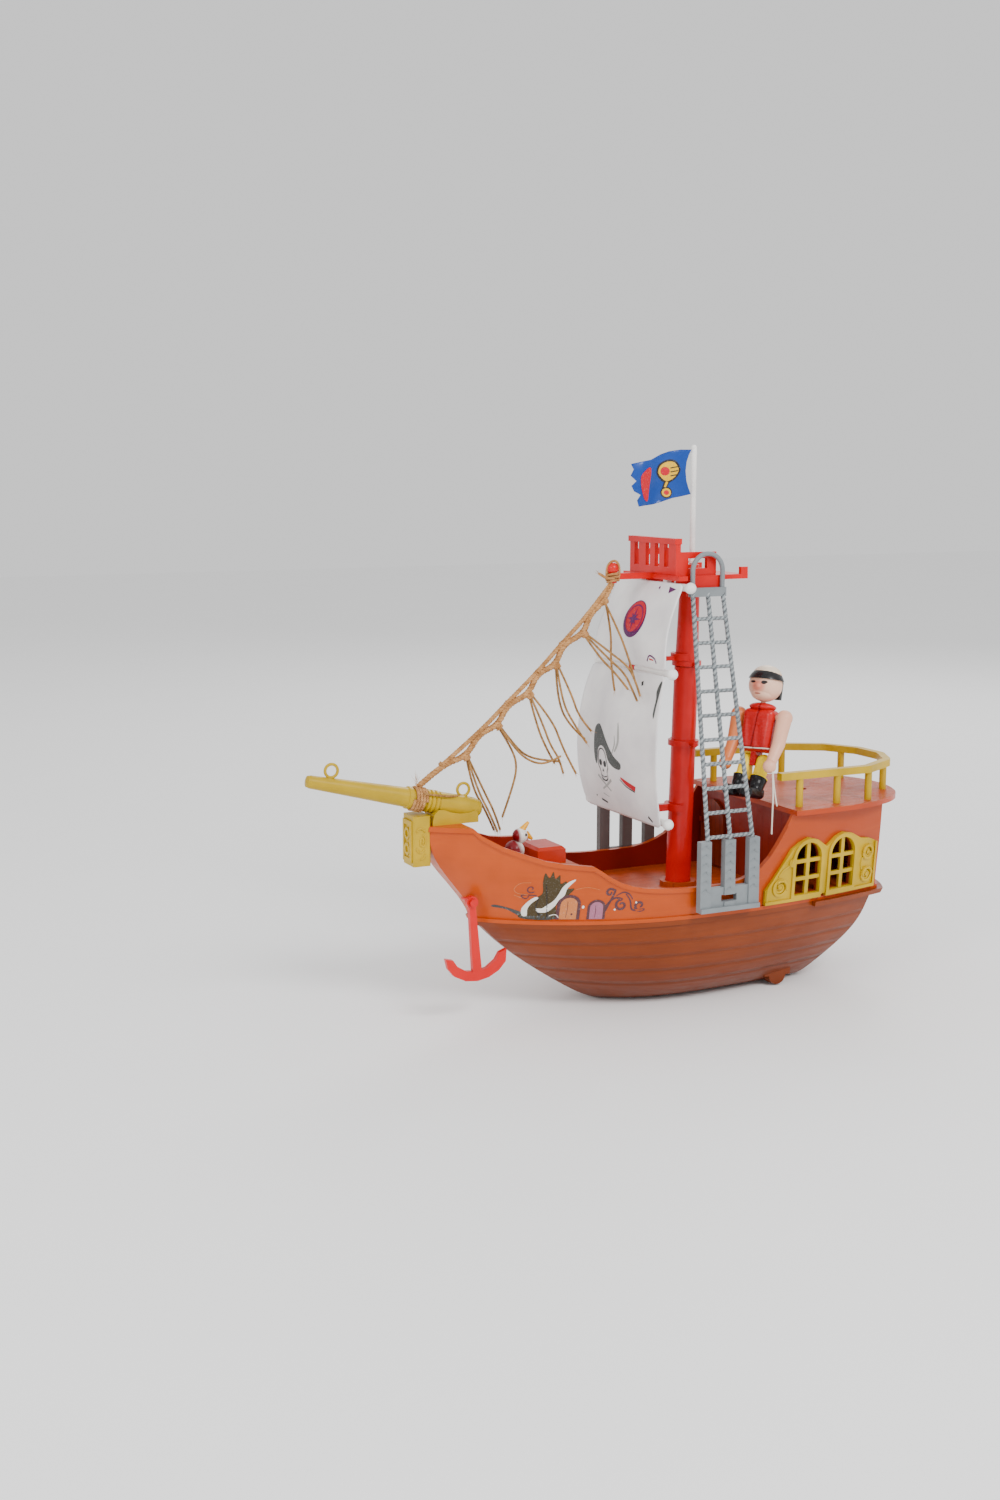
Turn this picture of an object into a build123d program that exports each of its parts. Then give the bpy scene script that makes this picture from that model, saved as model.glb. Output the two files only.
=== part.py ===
from build123d import *
import math
import os

os.makedirs("parts", exist_ok=True)

# Toy sailing boat, millimetres. +X is the bow, +Y is port, +Z is up.
# The origin is on the flat of the keel, straight under the mast.

# ---------------------------------------------------------------- driving dimensions
seam_z = 55.0
wall = 2.2
mid_x = 5.0
main_deck_z = 61.0
poop_z = 111.0
poop_front_x = -43.5
plate = 3.0
bulkhead_x = -46.0

# Hull lines at each height: height, stem, stern, half beam, half transom, half nose.
lower_lines = [
    (0.0, 50.0, -76.0, 12.0, 8.0, 2.0),
    (4.0, 64.0, -84.0, 24.0, 16.0, 2.0),
    (12.0, 78.0, -93.0, 34.0, 22.0, 2.2),
    (24.0, 96.0, -107.0, 42.0, 27.5, 2.5),
    (38.0, 114.0, -119.0, 47.5, 31.5, 3.0),
    (55.0, 131.5, -127.0, 51.0, 34.5, 4.0),
]
upper_lines = [
    (55.0, 132.0, -127.5, 51.5, 35.0, 4.0),
    (75.0, 144.0, -128.5, 53.3, 36.7, 5.5),
    (94.0, 157.5, -129.5, 54.3, 38.0, 7.0),
    (114.0, 158.0, -130.0, 54.6, 38.6, 7.5),
]

# Mast and top.
mast_foot_r = 7.35
mast_mid_r = 6.9
mast_top_r = 5.6
mast_joint_z = 189.0
nest_z = 240.0
mast_rake = 0.027

# Yards: height, distance forward, half length.
top_yard = (236.6, 18.5, 38.8)
middle_yard = (190.3, 30.8, 41.4)
bottom_yard = (107.8, 33.9, 44.6)
yard_r = 2.0
sail_t = 0.8

# Bowsprit: the axis runs up and forward from its breech.
breech_x = 127.0
breech_z = 116.6
sprit_length = 103.0
sprit_angle = 13.1

# Ladder.
ladder_low = (99.0, 57.4)
ladder_high = (236.0, 28.4)
rung_heights = [219.0, 205.9, 192.8, 179.7, 166.6, 153.5, 140.4, 127.3, 114.2, 101.1]

# Figure.
figure_place = (-32.8, 29.0, 136.0)
figure_turn = 28.0
figure_lean = -13.0


def save(shape, name):
    export_step(shape, "parts/" + name + ".step")


def at(x, y, z):
    return Pos(x, y, z)


def block(x0, x1, y0, y1, z0, z1):
    return at((x0 + x1) / 2, (y0 + y1) / 2, (z0 + z1) / 2) * Box(x1 - x0, y1 - y0, z1 - z0)


def rod(start, end, r, r_end=None):
    a = Vector(*start)
    b = Vector(*end)
    line = Plane(origin=a, z_dir=b - a)
    length = (b - a).length
    if r_end is None or r_end == r:
        return line * Pos(0, 0, length / 2) * Cylinder(r, length)
    return line * Pos(0, 0, length / 2) * Cone(r, r_end, length)


def both_sides(shape):
    return shape, mirror(shape, Plane.XZ)


# ---------------------------------------------------------------- hull shells
def waterline(row, inset):
    z, stem, stern, beam, transom, nose = row
    bow = stem - inset * 1.3
    n = max(nose - inset * 0.4, 0.6)
    b = beam - inset
    t = transom - inset
    aft = stern + inset
    corner = aft + 0.36 * transom
    port = [(bow, n, z)]
    for f in (0.08, 0.22, 0.42, 0.68, 1.0):
        fullness = (1 - (1 - f) ** 2.2) ** 0.9
        port.append((bow - (bow - mid_x) * f, n + (b - n) * fullness, z))
    for f in (0.4, 0.75, 1.0):
        port.append((mid_x - (mid_x - corner) * f, t + (b - t) * (1 - f * f), z))
    starboard = [(p[0], -p[1], p[2]) for p in reversed(port)]
    nose_edge = Line(starboard[-1], port[0])
    port_edge = Spline(*port)
    stern_edge = ThreePointArc(port[-1], (aft, 0, z), starboard[0])
    starboard_edge = Spline(*starboard)
    return Wire([nose_edge, port_edge, stern_edge, starboard_edge])


def hull_form(lines, inset, first_z=None, last_z=None):
    rows = [list(row) for row in lines]
    if first_z is not None:
        rows[0][0] = first_z
    if last_z is not None:
        rows[-1][0] = last_z
    return Solid.make_loft([waterline(row, inset) for row in rows])


lower_outer = hull_form(lower_lines, 0)
lower_inner = hull_form(lower_lines, wall, 2.4, 55.5)
upper_outer = hull_form(upper_lines, 0)
upper_inner = hull_form(upper_lines, wall, 54.5, 114.5)


def side_profile(points, y0=-80, y1=80):
    face = make_face(Polyline(*[(p[0], y0, p[1]) for p in points], close=True))
    return extrude(face, amount=y1 - y0, dir=(0, 1, 0))


def hull_ring(lines, outer_inset, inner_inset, slab):
    core = hull_form(lines, inner_inset, lines[0][0] - 1, lines[-1][0] + 1)
    return (hull_form(lines, outer_inset) & slab) - core


# ---------------------------------------------------------------- lower hull
lower_hull = lower_outer - lower_inner
lower_hull += hull_ring(lower_lines, -1.2, 1.0, block(-200, 200, -80, 80, 52.2, 55))
lower_hull += hull_ring(lower_lines, -4.0, 1.0, block(-200, -62, -80, 80, 52.2, 55))

# Wheel housings, each with a slot and two cheeks.
wheel_x = -54.0
wheel_y = 20.0
wheel_r = 6.0
for side in (1, -1):
    y = side * wheel_y
    housing = block(wheel_x - 9, wheel_x + 9, y - 5.4, y + 5.4, 6.0, 15.5)
    cheeks = at(wheel_x, y, 6.3) * Rot(90, 0, 0) * Cylinder(5.7, 10.8)
    lower_hull += housing + cheeks
    lower_hull -= block(wheel_x - 7.2, wheel_x + 7.2, y - 3.4, y + 3.4, -1, 13.6)
    lower_hull -= at(wheel_x, y, 6.3) * Rot(90, 0, 0) * Cylinder(1.28, 9.4)
save(lower_hull, "lower_hull")

for side, name in ((1, "wheel_port"), (-1, "wheel_starboard")):
    disc = Cylinder(wheel_r, 6.2)
    pin = Cylinder(1.2, 9.0)
    wheel = disc + pin
    wheel -= Pos(0, 0, 2.8) * (Cylinder(4.4, 1.0) - Cylinder(2.2, 1.0))
    wheel -= Pos(0, 0, -2.8) * (Cylinder(4.4, 1.0) - Cylinder(2.2, 1.0))
    save(at(wheel_x, side * wheel_y, 6.3) * Rot(90, 0, 0) * wheel, name)

# ---------------------------------------------------------------- upper hull
sheer = [
    (172, 111), (141, 111), (137, 107), (126, 100.6), (113, 95.6), (104.7, 92.6), (96.1, 90.9), (80, 88.9),
    (75.8, 86.2), (71.1, 82.7), (64.6, 79), (58, 76.6), (50.5, 75), (40.8, 74), (30.9, 73.4), (15, 73),
    (2, 73.3), (-9, 75), (-15.5, 77.2), (-21.5, 80), (-27.8, 85.6), (-32.9, 92.2), (-39.7, 102), (-43.5, 108),
    (-150, 108),
]
above = side_profile(sheer + [(-150, 150), (172, 150)])
upper_hull = (upper_outer - upper_inner) - above

# The solid prow top that carries the bowsprit.
upper_hull += (upper_outer & block(136, 172, -30, 30, 106.5, 111)) - above

# Gunwale moulding outside the sheer, from the prow to the quarter.
strip = [p for p in sheer if p[0] > -43]
strip += [(p[0], p[1] - 2.6) for p in reversed(strip)]
upper_hull += hull_ring(upper_lines, -1.0, 1.0, side_profile(strip))
upper_hull += hull_ring(upper_lines, -1.0, 1.0, block(-200, 200, -80, 80, 55.05, 57.2))


def arch(x, z0, z1, half, y0, y1):
    body = block(x - half, x + half, y0, y1, z0, z1 - half)
    head = at(x, (y0 + y1) / 2, z1 - half) * Rot(90, 0, 0) * Cylinder(half, y1 - y0)
    return body + head


# Stern-cabin window openings through both sides.
window_x = (-55.0, -81.8)
for x in window_x:
    upper_hull -= arch(x, 61.0, 91.0, 9.4, 30, 70)
    upper_hull -= arch(x, 61.0, 91.0, 9.4, -70, -30)

# Peg that the anchor hangs from.
anchor_x = 138.4
anchor_y = 13.4
anchor_z = 68.5
peg = at(anchor_x, 9.2, anchor_z) * Rot(90, 0, 0) * Cylinder(1.3, 13.4)
peg += at(anchor_x, 16.2, anchor_z) * Rot(90, 0, 0) * Cylinder(2.1, 1.4)
save(upper_hull, "upper_hull")
save(peg - upper_outer, "anchor_peg")

# ---------------------------------------------------------------- decks and bulkheads
inside = hull_form(upper_lines, wall + 0.05, 54.5, 114.5)
main_deck = inside & block(-123, 128, -60, 60, main_deck_z - 2.5, main_deck_z)
step = at(0, 0, main_deck_z + 1.5) * (Cylinder(10.5, 3) - Cylinder(mast_foot_r + 0.3, 3))
main_deck += step
save(main_deck, "main_deck")

fore_deck = inside & block(76, 152, -60, 60, 82, 84.5)
fore_deck += inside & block(76, 78.2, -60, 60, main_deck_z, 84.5)
save(fore_deck, "fore_deck")

hatch = block(79.5, 97, -13, 11, 84.5, 93.6)
hatch = chamfer(hatch.edges().group_by(Axis.Z)[-1], 1.6)
save(hatch, "fore_hatch")

deck_plan = [(-75, 55.2), (-100, 51.0), (-122, 40.5), (-136, 22)]
port_rim = Spline((poop_front_x, 55.8, 0), *[(p[0], p[1], 0) for p in deck_plan])
stern_rim = ThreePointArc((-136, 22, 0), (-141, 0, 0), (-136, -22, 0))
starboard_rim = Spline(*[(p[0], -p[1], 0) for p in reversed(deck_plan)], (poop_front_x, -55.8, 0))
front_rim = Line((poop_front_x, -55.8, 0), (poop_front_x, 55.8, 0))
poop_face = make_face([port_rim, stern_rim, starboard_rim, front_rim])
poop_deck = Pos(0, 0, poop_z - plate) * extrude(poop_face, plate)
peg_hole_x = -85.0
peg_hole_r = 3.5
poop_deck -= at(peg_hole_x, 0, poop_z - 1.5) * Cylinder(peg_hole_r, 4)
save(poop_deck, "poop_deck")

bulkhead = inside & block(bulkhead_x - 2, bulkhead_x, -60, 60, main_deck_z, poop_z - plate)
door_low = main_deck_z + 1.2
door_high = 103.0
door_y0 = -45.3
door_y1 = -21.0
door_mid = (door_y0 + door_y1) / 2
opening_half = (door_y1 - door_y0) / 2 - 1.6
opening = block(bulkhead_x - 5, bulkhead_x + 1, door_mid - opening_half, door_mid + opening_half, 63.5, 90)
opening += at(bulkhead_x - 2, door_mid, 90) * Rot(0, 90, 0) * Cylinder(opening_half, 6)
bulkhead -= opening
hinge_x = bulkhead_x + 1.3
for lug_z in (66.0, 88.0):
    lug = block(bulkhead_x, hinge_x + 1.5, door_y0 - 1.9, door_y0 + 1.5, lug_z - 1.4, lug_z + 1.4)
    bulkhead += lug - at(hinge_x, door_y0, lug_z) * Cylinder(0.68, 4)
save(bulkhead, "poop_bulkhead")

# Cabin door: a panel with an arched top that swings on two pins.
door = block(hinge_x - 0.8, hinge_x + 0.8, door_y0, door_y1, door_low, 90)
door += at(hinge_x, door_mid, 90) * Rot(0, 90, 0) * Cylinder((door_y1 - door_y0) / 2, 1.6)
door += at(hinge_x, door_y0, (door_low + 86) / 2) * Cylinder(1.0, 86 - door_low)
for lug_z in (66.0, 88.0):
    gap = block(hinge_x - 2.4, hinge_x + 3, door_y0 - 3, door_y0 + 2.1, lug_z - 1.8, lug_z + 1.8)
    door -= gap
    door += at(hinge_x, door_y0, lug_z) * Cylinder(0.62, 3.7)
door += at(hinge_x + 1.2, door_y1 - 4, 80) * Rot(0, 90, 0) * Cylinder(1.2, 1.6)
save(door, "cabin_door")

# ---------------------------------------------------------------- stern rail
rail_path = FilletPolyline(
    (-38, 45.5, 129.2), (-99, 45.3, 129.2), (-124, 31, 129.2), (-134.5, 11, 129.2),
    (-134.5, -11, 129.2), (-124, -31, 129.2), (-99, -45.3, 129.2), (-38, -45.5, 129.2),
    radius=9,
)
rail_section = Plane(origin=rail_path @ 0, z_dir=rail_path % 0) * Rectangle(4.6, 4.2)
stern_rail = sweep(rail_section, path=rail_path)
for x, y in ((-52, 45.4), (-78, 45.3), (-101, 44.0), (-129.2, 21)):
    for side in (1, -1):
        stern_rail += at(x, side * y, (poop_z + 129.2) / 2) * Cylinder(2.1, 129.2 - poop_z)
save(stern_rail, "stern_rail")

# ---------------------------------------------------------------- window panels
outline = [
    (-25, 57.6), (-66, 57.6), (-66, 59.2), (-70, 59.2), (-70, 57.6), (-110.5, 57.6), (-110.5, 85),
    (-104, 87.6), (-97, 88.5), (-93.5, 90.2), (-89, 92.6), (-81.8, 94), (-76, 92.2), (-69, 87.2),
    (-62, 92), (-55, 94), (-48, 91.6), (-42.5, 88.4), (-36.5, 80), (-29, 70.5), (-25, 66),
]
plate_outline = side_profile(outline, 20, 80)
panel = hull_ring(upper_lines, -1.9, -0.08, plate_outline)
relief = None
for x in window_x:
    ring = arch(x, 58.8, 93.4, 11.6, 20, 80) - arch(x, 60.8, 91.2, 9.5, 20, 80)
    relief = ring if relief is None else relief + ring
for x, z, r in ((-35, 67, 5.2), (-103, 66, 4.6), (-103, 79.5, 4.6), (-43, 80.5, 2.4)):
    relief += at(x, 50, z) * Rot(90, 0, 0) * (Cylinder(r, 60) - Cylinder(r - 1.5, 60))
    relief += at(x, 50, z) * Rot(90, 0, 0) * Cylinder(1.1, 60)
relief += block(-110.5, -25, 20, 80, 57.6, 59.4) - block(-70, -66, 20, 80, 57, 60)
relief += block(-110.5, -108.9, 20, 80, 57.6, 85)
panel += hull_ring(upper_lines, -2.9, -0.08, plate_outline & relief)
for x in window_x:
    panes = arch(x, 61.0, 91.0, 9.2, 20, 80)
    panes -= block(x - 1.3, x + 1.3, 10, 90, 50, 100)
    for bar_z in (70.4, 80.6):
        panes -= block(x - 12, x + 12, 10, 90, bar_z - 1.1, bar_z + 1.1)
    panel -= panes
port_panel, starboard_panel = both_sides(panel)
save(port_panel, "window_panel_port")
save(starboard_panel, "window_panel_starboard")

# ---------------------------------------------------------------- bowsprit group
sprit_axis = Plane(
    origin=(breech_x, 0, breech_z),
    x_dir=(0, 1, 0),
    z_dir=(math.cos(math.radians(sprit_angle)), 0, math.sin(math.radians(sprit_angle))),
)
sprit_profile = [
    (0, 0), (3.2, 0.3), (4.9, 1.8), (5.7, 4.5), (6.0, 9), (6.0, 26), (5.5, 26.6), (6.3, 27.4),
    (6.3, 28.6), (5.5, 29.2), (6.3, 30), (6.3, 31.2), (5.5, 31.8), (6.3, 32.6), (6.3, 33.8),
    (5.2, 34.4), (5.2, 42.4), (6.1, 42.8), (6.1, 44.8), (5.4, 45.2), (3.5, 100.5), (3.0, 102.3),
    (0, 103),
]
sprit_face = make_face(Polyline(*[(p[0], 0, p[1]) for p in sprit_profile], close=True))
bowsprit = sprit_axis * revolve(sprit_face, Axis.Z)
for along, height in ((90.0, 7.6), (12.5, 9.2)):
    eye = Pos(0, 0, along) * Pos(-height, 0, 0) * Rot(90, 0, 0) * Torus(3.5, 0.8)
    bowsprit += Plane(origin=(breech_x, 0, breech_z), x_dir=(math.sin(math.radians(sprit_angle)), 0,
                      -math.cos(math.radians(sprit_angle))), z_dir=sprit_axis.z_dir) * eye
save(bowsprit, "bowsprit")

# Cradle on the prow top with turned-up ends.
cradle_shape = [
    (131, 111), (158, 111), (158, 113), (157, 117), (154.5, 119.5), (151, 119.2), (147, 117.5), (141, 116.4),
    (136, 116.6), (133, 117.5), (131, 116),
]
cradle = side_profile(cradle_shape, -6.6, 6.6)
cradle -= sprit_axis * Pos(0, 0, -4) * Cylinder(6.06, 60)
cradle -= sprit_axis * Pos(0, 0, 46) * Cylinder(6.36, 40)
save(cradle, "bowsprit_cradle")

head_block = block(159.5, 169.6, -7.4, 7.4, 89.5, 117)
head_block = chamfer(head_block.edges().filter_by(Axis.Z), 0.8)
head_block += block(168.8, 170.6, -5.6, 5.6, 91.5, 114.5)
head_block -= block(169.8, 171.5, -3.6, 3.6, 94, 112)
head_block += at(170.0, 0, 107) * Rot(0, 90, 0) * (Cylinder(3.4, 1.4) - Cylinder(1.9, 1.4))
head_block += at(170.0, 0, 98.5) * Rot(0, 90, 0) * (Cylinder(3.4, 1.4) - Cylinder(1.9, 1.4))
head_block -= upper_hull
save(head_block, "figurehead")


# ---------------------------------------------------------------- mast, top and pole
def mast_x(z):
    return -(z - main_deck_z) * mast_rake


def mast_piece(z0, r0, z1, r1):
    return rod((mast_x(z0), 0, z0), (mast_x(z1), 0, z1), r0, r1)


mast_lower = mast_piece(main_deck_z + 0.25, mast_foot_r - 0.05, mast_joint_z, mast_mid_r)
collar_z = 145.0
mast_lower += mast_piece(collar_z - 1.6, 8.9, collar_z + 1.6, 8.9)
mast_lower += rod((mast_x(collar_z), -13, collar_z), (mast_x(collar_z), 13, collar_z), 1.4)
save(mast_lower, "mast_lower")

mast_upper = mast_piece(mast_joint_z + 0.3, mast_mid_r - 0.2, nest_z - 0.3, mast_top_r)
mast_upper += mast_piece(mast_joint_z + 0.5, 8.4, mast_joint_z + 3.5, 8.4)
mast_upper += rod((mast_x(mast_joint_z), -12.5, mast_joint_z + 1.6), (mast_x(mast_joint_z), 12.5, mast_joint_z + 1.6), 1.4)
save(mast_upper, "mast_upper")

pole_x = -6.0
pole_r = 1.6
nest = block(-27, 20, -25.5, 25.5, nest_z, nest_z + 2.6)
nest += block(15.5, 21.2, -31, 31, nest_z, nest_z + 2.6)
nest += block(17.6, 20.0, -25, 25, nest_z + 2.6, 263)
for slot_y in (-18, -15 + 9.6, 4.8, 15):
    nest -= block(16, 22, slot_y - 2.4, slot_y + 2.4, 247, 259.6)
nest += block(16.6, 21.0, -26, 26, 259.8, 263)
for side in (1, -1):
    y = side * 24.2
    nest += block(-6, 20, y - 1.2, y + 1.2, nest_z + 2.6, 255.5)
    nest += block(17.0, 20, y - 1.3, y + 1.3, nest_z + 2.6, 263)
    nest -= block(0, 12, y - 3, y + 3, 246.5, 252)
    nest += block(-27, -22.5, y - 1.2, y + 1.2, nest_z + 2.6, 246.6)
    nest += block(-9, 12, side * 26.3 - 0.9, side * 26.3 + 0.9, 231, nest_z + 2.6)
    nest += block(-9, 12, side * 24.9 - 1.2, side * 24.9 + 1.2, 231, 233)
    nest += block(-9, -7, side * 24.9 - 1.2, side * 24.9 + 1.2, 231, nest_z + 1)
    nest += block(10, 12, side * 24.9 - 1.2, side * 24.9 + 1.2, 231, nest_z + 1)
nest += block(18.9, 21.2, -8, 0, 239.5 + 0.2, nest_z + 1)
nest += at(mast_x(236), 0, 237.5) * (Cylinder(8.2, 7) - Cylinder(mast_top_r + 0.8, 7))
nest += block(19, 44, -2.2, 2.2, nest_z - 1.2 + 1.2, nest_z + 3.4)
nest += at(45.5, 0, 242.0) * Cylinder(2.4, 8)
nest += at(45.5, 0, 246.0) * Sphere(3.4)
nest += at(pole_x, 0, nest_z + 4.5) * Cylinder(4.0, 5)
nest -= at(pole_x, 0, nest_z + 5.4) * Cylinder(pole_r + 0.06, 6)
save(nest, "crows_nest")

flagpole = rod((pole_x, 0, nest_z + 2.7), (pole_x, 0, 312.5), pole_r)
flagpole += at(pole_x, 0, 312.5) * Sphere(pole_r)
flagpole += at(pole_x, 0, nest_z + 8.6) * Cylinder(2.6, 1.4)
save(flagpole, "flagpole")

flag_edge = Polyline(
    (-4.2, 0, 311.5), (8, 0, 309.5), (20, 0, 306.5), (34.5, 0, 303), (33, 0, 299), (35, 0, 295.5), (31, 0, 291.5),
    (34, 0, 288), (29, 0, 285.5), (30.5, 0, 280), (20, 0, 281), (8, 0, 284.5), (-4.2, 0, 286.5), close=True,
)
flag_face = make_face(flag_edge)
flag = extrude(flag_face, amount=0.35, dir=(0, 1, 0)) + extrude(flag_face, amount=0.35, dir=(0, -1, 0))
save(flag, "flag")


# ---------------------------------------------------------------- yards and sails
def yard(spec):
    z, x, half = spec
    bar = rod((x, -half, z), (x, half, z), yard_r)
    bar += at(x, half, z) * Sphere(3.1)
    bar += at(x, -half, z) * Sphere(3.1)
    return bar


yard_top = yard(top_yard)
for y in (-14, 14):
    yard_top += block(17, 20, y - 2, y + 2, top_yard[0], nest_z)
save(yard_top, "yard_top")

for spec, name, r in ((middle_yard, "yard_middle", mast_mid_r), (bottom_yard, "yard_bottom", mast_foot_r)):
    z, x, half = spec
    centre = mast_x(z)
    low = z - 2 if name == "yard_bottom" else z + 2.6
    spar = yard(spec)
    ring = at(centre, 0, low + 2) * (Cylinder(r + 2.3, 4) - Cylinder(r + 0.02, 4.2))
    spar += ring & block(centre + 3.6, centre + 20, -20, 20, low - 1, low + 5)
    spar += block(centre + r + 1, x, -1.8, 1.8, low, low + 4 if name == "yard_bottom" else z + 5.0)
    spar += block(x - 1.5, x + 1.5, -1.8, 1.8, z, z + 4.4)
    save(spar, name)


def sail(points, half_low, half_high):
    front = Spline(*[(p[0] + sail_t / 2, 0, p[1]) for p in points])
    back = Spline(*[(p[0] - sail_t / 2, 0, p[1]) for p in reversed(points)])
    top = Line(front @ 1, back @ 0)
    low = Line(back @ 1, front @ 0)
    face = make_face([front, top, back, low])
    width = max(half_low, half_high)
    sheet = extrude(face, amount=width, dir=(0, 1, 0)) + extrude(face, amount=width, dir=(0, -1, 0))
    z0 = points[0][1]
    z1 = points[-1][1]
    trim = make_face(Polyline(
        (0, -half_low, z0 - 1), (0, half_low, z0 - 1), (0, half_high, z1 + 1), (0, -half_high, z1 + 1), close=True))
    return sheet & extrude(trim, amount=90, dir=(1, 0, 0))


upper_points = [(33.8, 192.2), (35.2, 203), (32.5, 216), (27.0, 228), (21.6, 238.6)]
lower_points = [(36.9, 105.5), (42.6, 120), (45.8, 138), (45.4, 156), (41.5, 174), (34.4, 189.2)]
save(sail(upper_points, 37.5, 35.5), "sail_upper")
save(sail(lower_points, 41.5, 38.5), "sail_lower")


# ---------------------------------------------------------------- ladders
def ladder_y(z):
    t = (z - ladder_low[0]) / (ladder_high[0] - ladder_low[0])
    return ladder_low[1] + (ladder_high[1] - ladder_low[1]) * t


def ladder_x(z, place):
    t = (z - ladder_low[0]) / (ladder_high[0] - ladder_low[0])
    low = 1.6 + place * 14.5
    high = 1.4 + place * 9.6
    return low + (high - low) * t


rail_r = 1.15
ladder = None
for place in (-1, 0, 1):
    low = (ladder_x(96, place), ladder_y(96), 96)
    high = (ladder_x(234, place), ladder_y(234), 234)
    piece = rod(low, high, rail_r)
    ladder = piece if ladder is None else ladder + piece
for z in rung_heights:
    ladder += rod((ladder_x(z, -1), ladder_y(z), z), (ladder_x(z, 1), ladder_y(z), z), 1.05)
arch_left = (ladder_x(236, -1), 28.6, 233)
arch_right = (ladder_x(236, 1), 28.6, 233)
arch_r = (arch_right[0] - arch_left[0]) / 2
arch_mid = (arch_left[0] + arch_right[0]) / 2
hoop_path = FilletPolyline(
    arch_left, (arch_left[0], 28.6, 254.6), (arch_right[0], 28.6, 254.6), arch_right, radius=arch_r * 0.98)
hoop = sweep(Plane(origin=hoop_path @ 0, z_dir=hoop_path % 0) * Circle(1.35), path=hoop_path)
ladder += hoop
ladder += block(arch_left[0] - 1.8, arch_right[0] + 1.8, 27.3, 30.2, 231, 236)
for x in (-13.1, 2.6, 18.2):
    ladder += block(x - 3.4, x + 3.4, 55.4, 59.6, 62, 99.4)
ladder += block(-16.5, 21.6, 55.4, 58.8, 60.2, 73)
ladder += block(-16.5, 21.6, 55.4, 61.0, 59.6, 62.2)
ladder -= block(-2.4, 7.6, 50, 65, 64.8, 68.6)
port_ladder, starboard_ladder = both_sides(ladder)
save(port_ladder, "ladder_port")
save(starboard_ladder, "ladder_starboard")

# ---------------------------------------------------------------- anchor
anchor_face = None
eye_r = 3.4
shank_low = (135.6, 25.5)
tip_fore = (154.4, 38.4)
tip_aft = (117.9, 40.2)
shank = Plane.XZ * Polyline(
    (anchor_x - 1.9, anchor_z - 2.4), (anchor_x + 1.9, anchor_z - 2.4), (shank_low[0] + 2.7, 30), (shank_low[0], 24.2),
    (shank_low[0] - 2.7, 30), close=True)
arms = Plane.XZ * Polyline(
    tip_fore, (150, 37.4), (147.5, 33.6), (142, 30.2), (135.8, 29.4), (129.8, 30.8), (124.6, 34.6), (122.2, 38.6),
    tip_aft, (118.4, 33.2), (122.6, 28.6), (128.6, 25.4), (135.4, 24.0), (142.6, 24.8), (149.4, 28.2), (153, 32.6),
    close=True)
anchor = extrude(make_face(shank), amount=1.5, both=True)
anchor += extrude(make_face(arms), amount=1.5, both=True)
anchor += at(anchor_x, 0, anchor_z) * Rot(90, 0, 0) * Cylinder(eye_r, 3)
anchor -= at(anchor_x, 0, anchor_z) * Rot(90, 0, 0) * Cylinder(1.7, 6)
save(Pos(0, anchor_y, 0) * anchor, "anchor")

# ---------------------------------------------------------------- standing figure
stand = Pos(*figure_place) * Rot(0, 0, figure_turn) * Rot(0, figure_lean, 0)
torso = Pos(0, 0, 17.6) * Box(11.6, 19, 24.8)
torso = fillet(torso.edges(), 3.2)
torso += Pos(0, 0, 31.2) * Cylinder(3.2, 4.0)
torso += Pos(0, 0, 2.2) * Box(8.4, 3.2, 9.6)
torso -= Pos(0, 0, 33.6) * Cylinder(1.5, 5)
torso -= Rot(90, 0, 0) * Cylinder(1.55, 8)
for side in (1, -1):
    torso -= Pos(0, side * 9.6, 26) * Rot(90, 0, 0) * Cylinder(1.55, 8)
save(stand * torso, "figure_torso")

head = Pos(0, 0, 43.8) * Sphere(9.6)
head += Pos(8.6, 0, 42.6) * Sphere(1.9)
head -= Pos(0, 0, 31.2) * Box(30, 30, 5.0)
head += Pos(0, 0, 33.4) * Cylinder(1.42, 3.6)
save(stand * head, "figure_head")

scarf = Pos(0, 0, 43.8) * Sphere(10.6) & Pos(0, 0, 49.2) * Box(30, 30, 4.6)
scarf -= Pos(0, 0, 43.8) * Sphere(9.7)
knot = Pos(-11.4, 2.4, 42.0) * Box(2.4, 4.6, 10.4)
knot += Pos(-11.2, 0.6, 47.8) * Box(3.0, 7.0, 2.6)
scarf += knot - Pos(0, 0, 43.8) * Sphere(9.9)
save(stand * scarf, "figure_scarf")

for side, name, swing in ((1, "figure_arm_port", -12), (-1, "figure_arm_starboard", -8)):
    y = side * 14.6
    arm = rod((0, y, 26), (0, y, 10), 4.4, 3.7)
    arm += Pos(0, y, 26) * Sphere(4.6)
    arm += Pos(0, y, 10) * Sphere(3.75)
    arm += rod((0, y, 10), (3.6, y, -1.5), 3.7, 2.9)
    arm += Pos(4.4, y, -4.0) * Sphere(3.8)
    arm += Pos(0, side * 9.8, 26) * Rot(90, 0, 0) * Cylinder(1.47, 6.0)
    shoulder = Pos(0, 0, 26) * Rot(0, swing, 0) * Pos(0, 0, -26)
    save(stand * shoulder * arm, name)

for side, name in ((1, "figure_leg_port"), (-1, "figure_leg_starboard")):
    y = side * 5.3
    leg = rod((0, y, 0), (0, y, -13), 4.3, 3.6)
    leg += Pos(0, y, 0) * Sphere(4.4)
    boot = Pos(3.4, y, -19.4) * Box(19, 8.0, 6.6)
    boot = fillet(boot.edges(), 2.6)
    boot = Pos(0, 0, -16) * Rot(0, 24, 0) * Pos(0, 0, 16) * boot
    boot += rod((-0.4, y, -10), (-0.6, y, -18), 5.2, 4.2)
    leg += boot
    leg -= Box(40, 3.9, 60)
    leg += Pos(0, side * 1.2, 0) * Rot(90, 0, 0) * Cylinder(1.47, 2.0)
    hip = Rot(0, -24, 0)
    save(stand * hip * leg, name)

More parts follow.
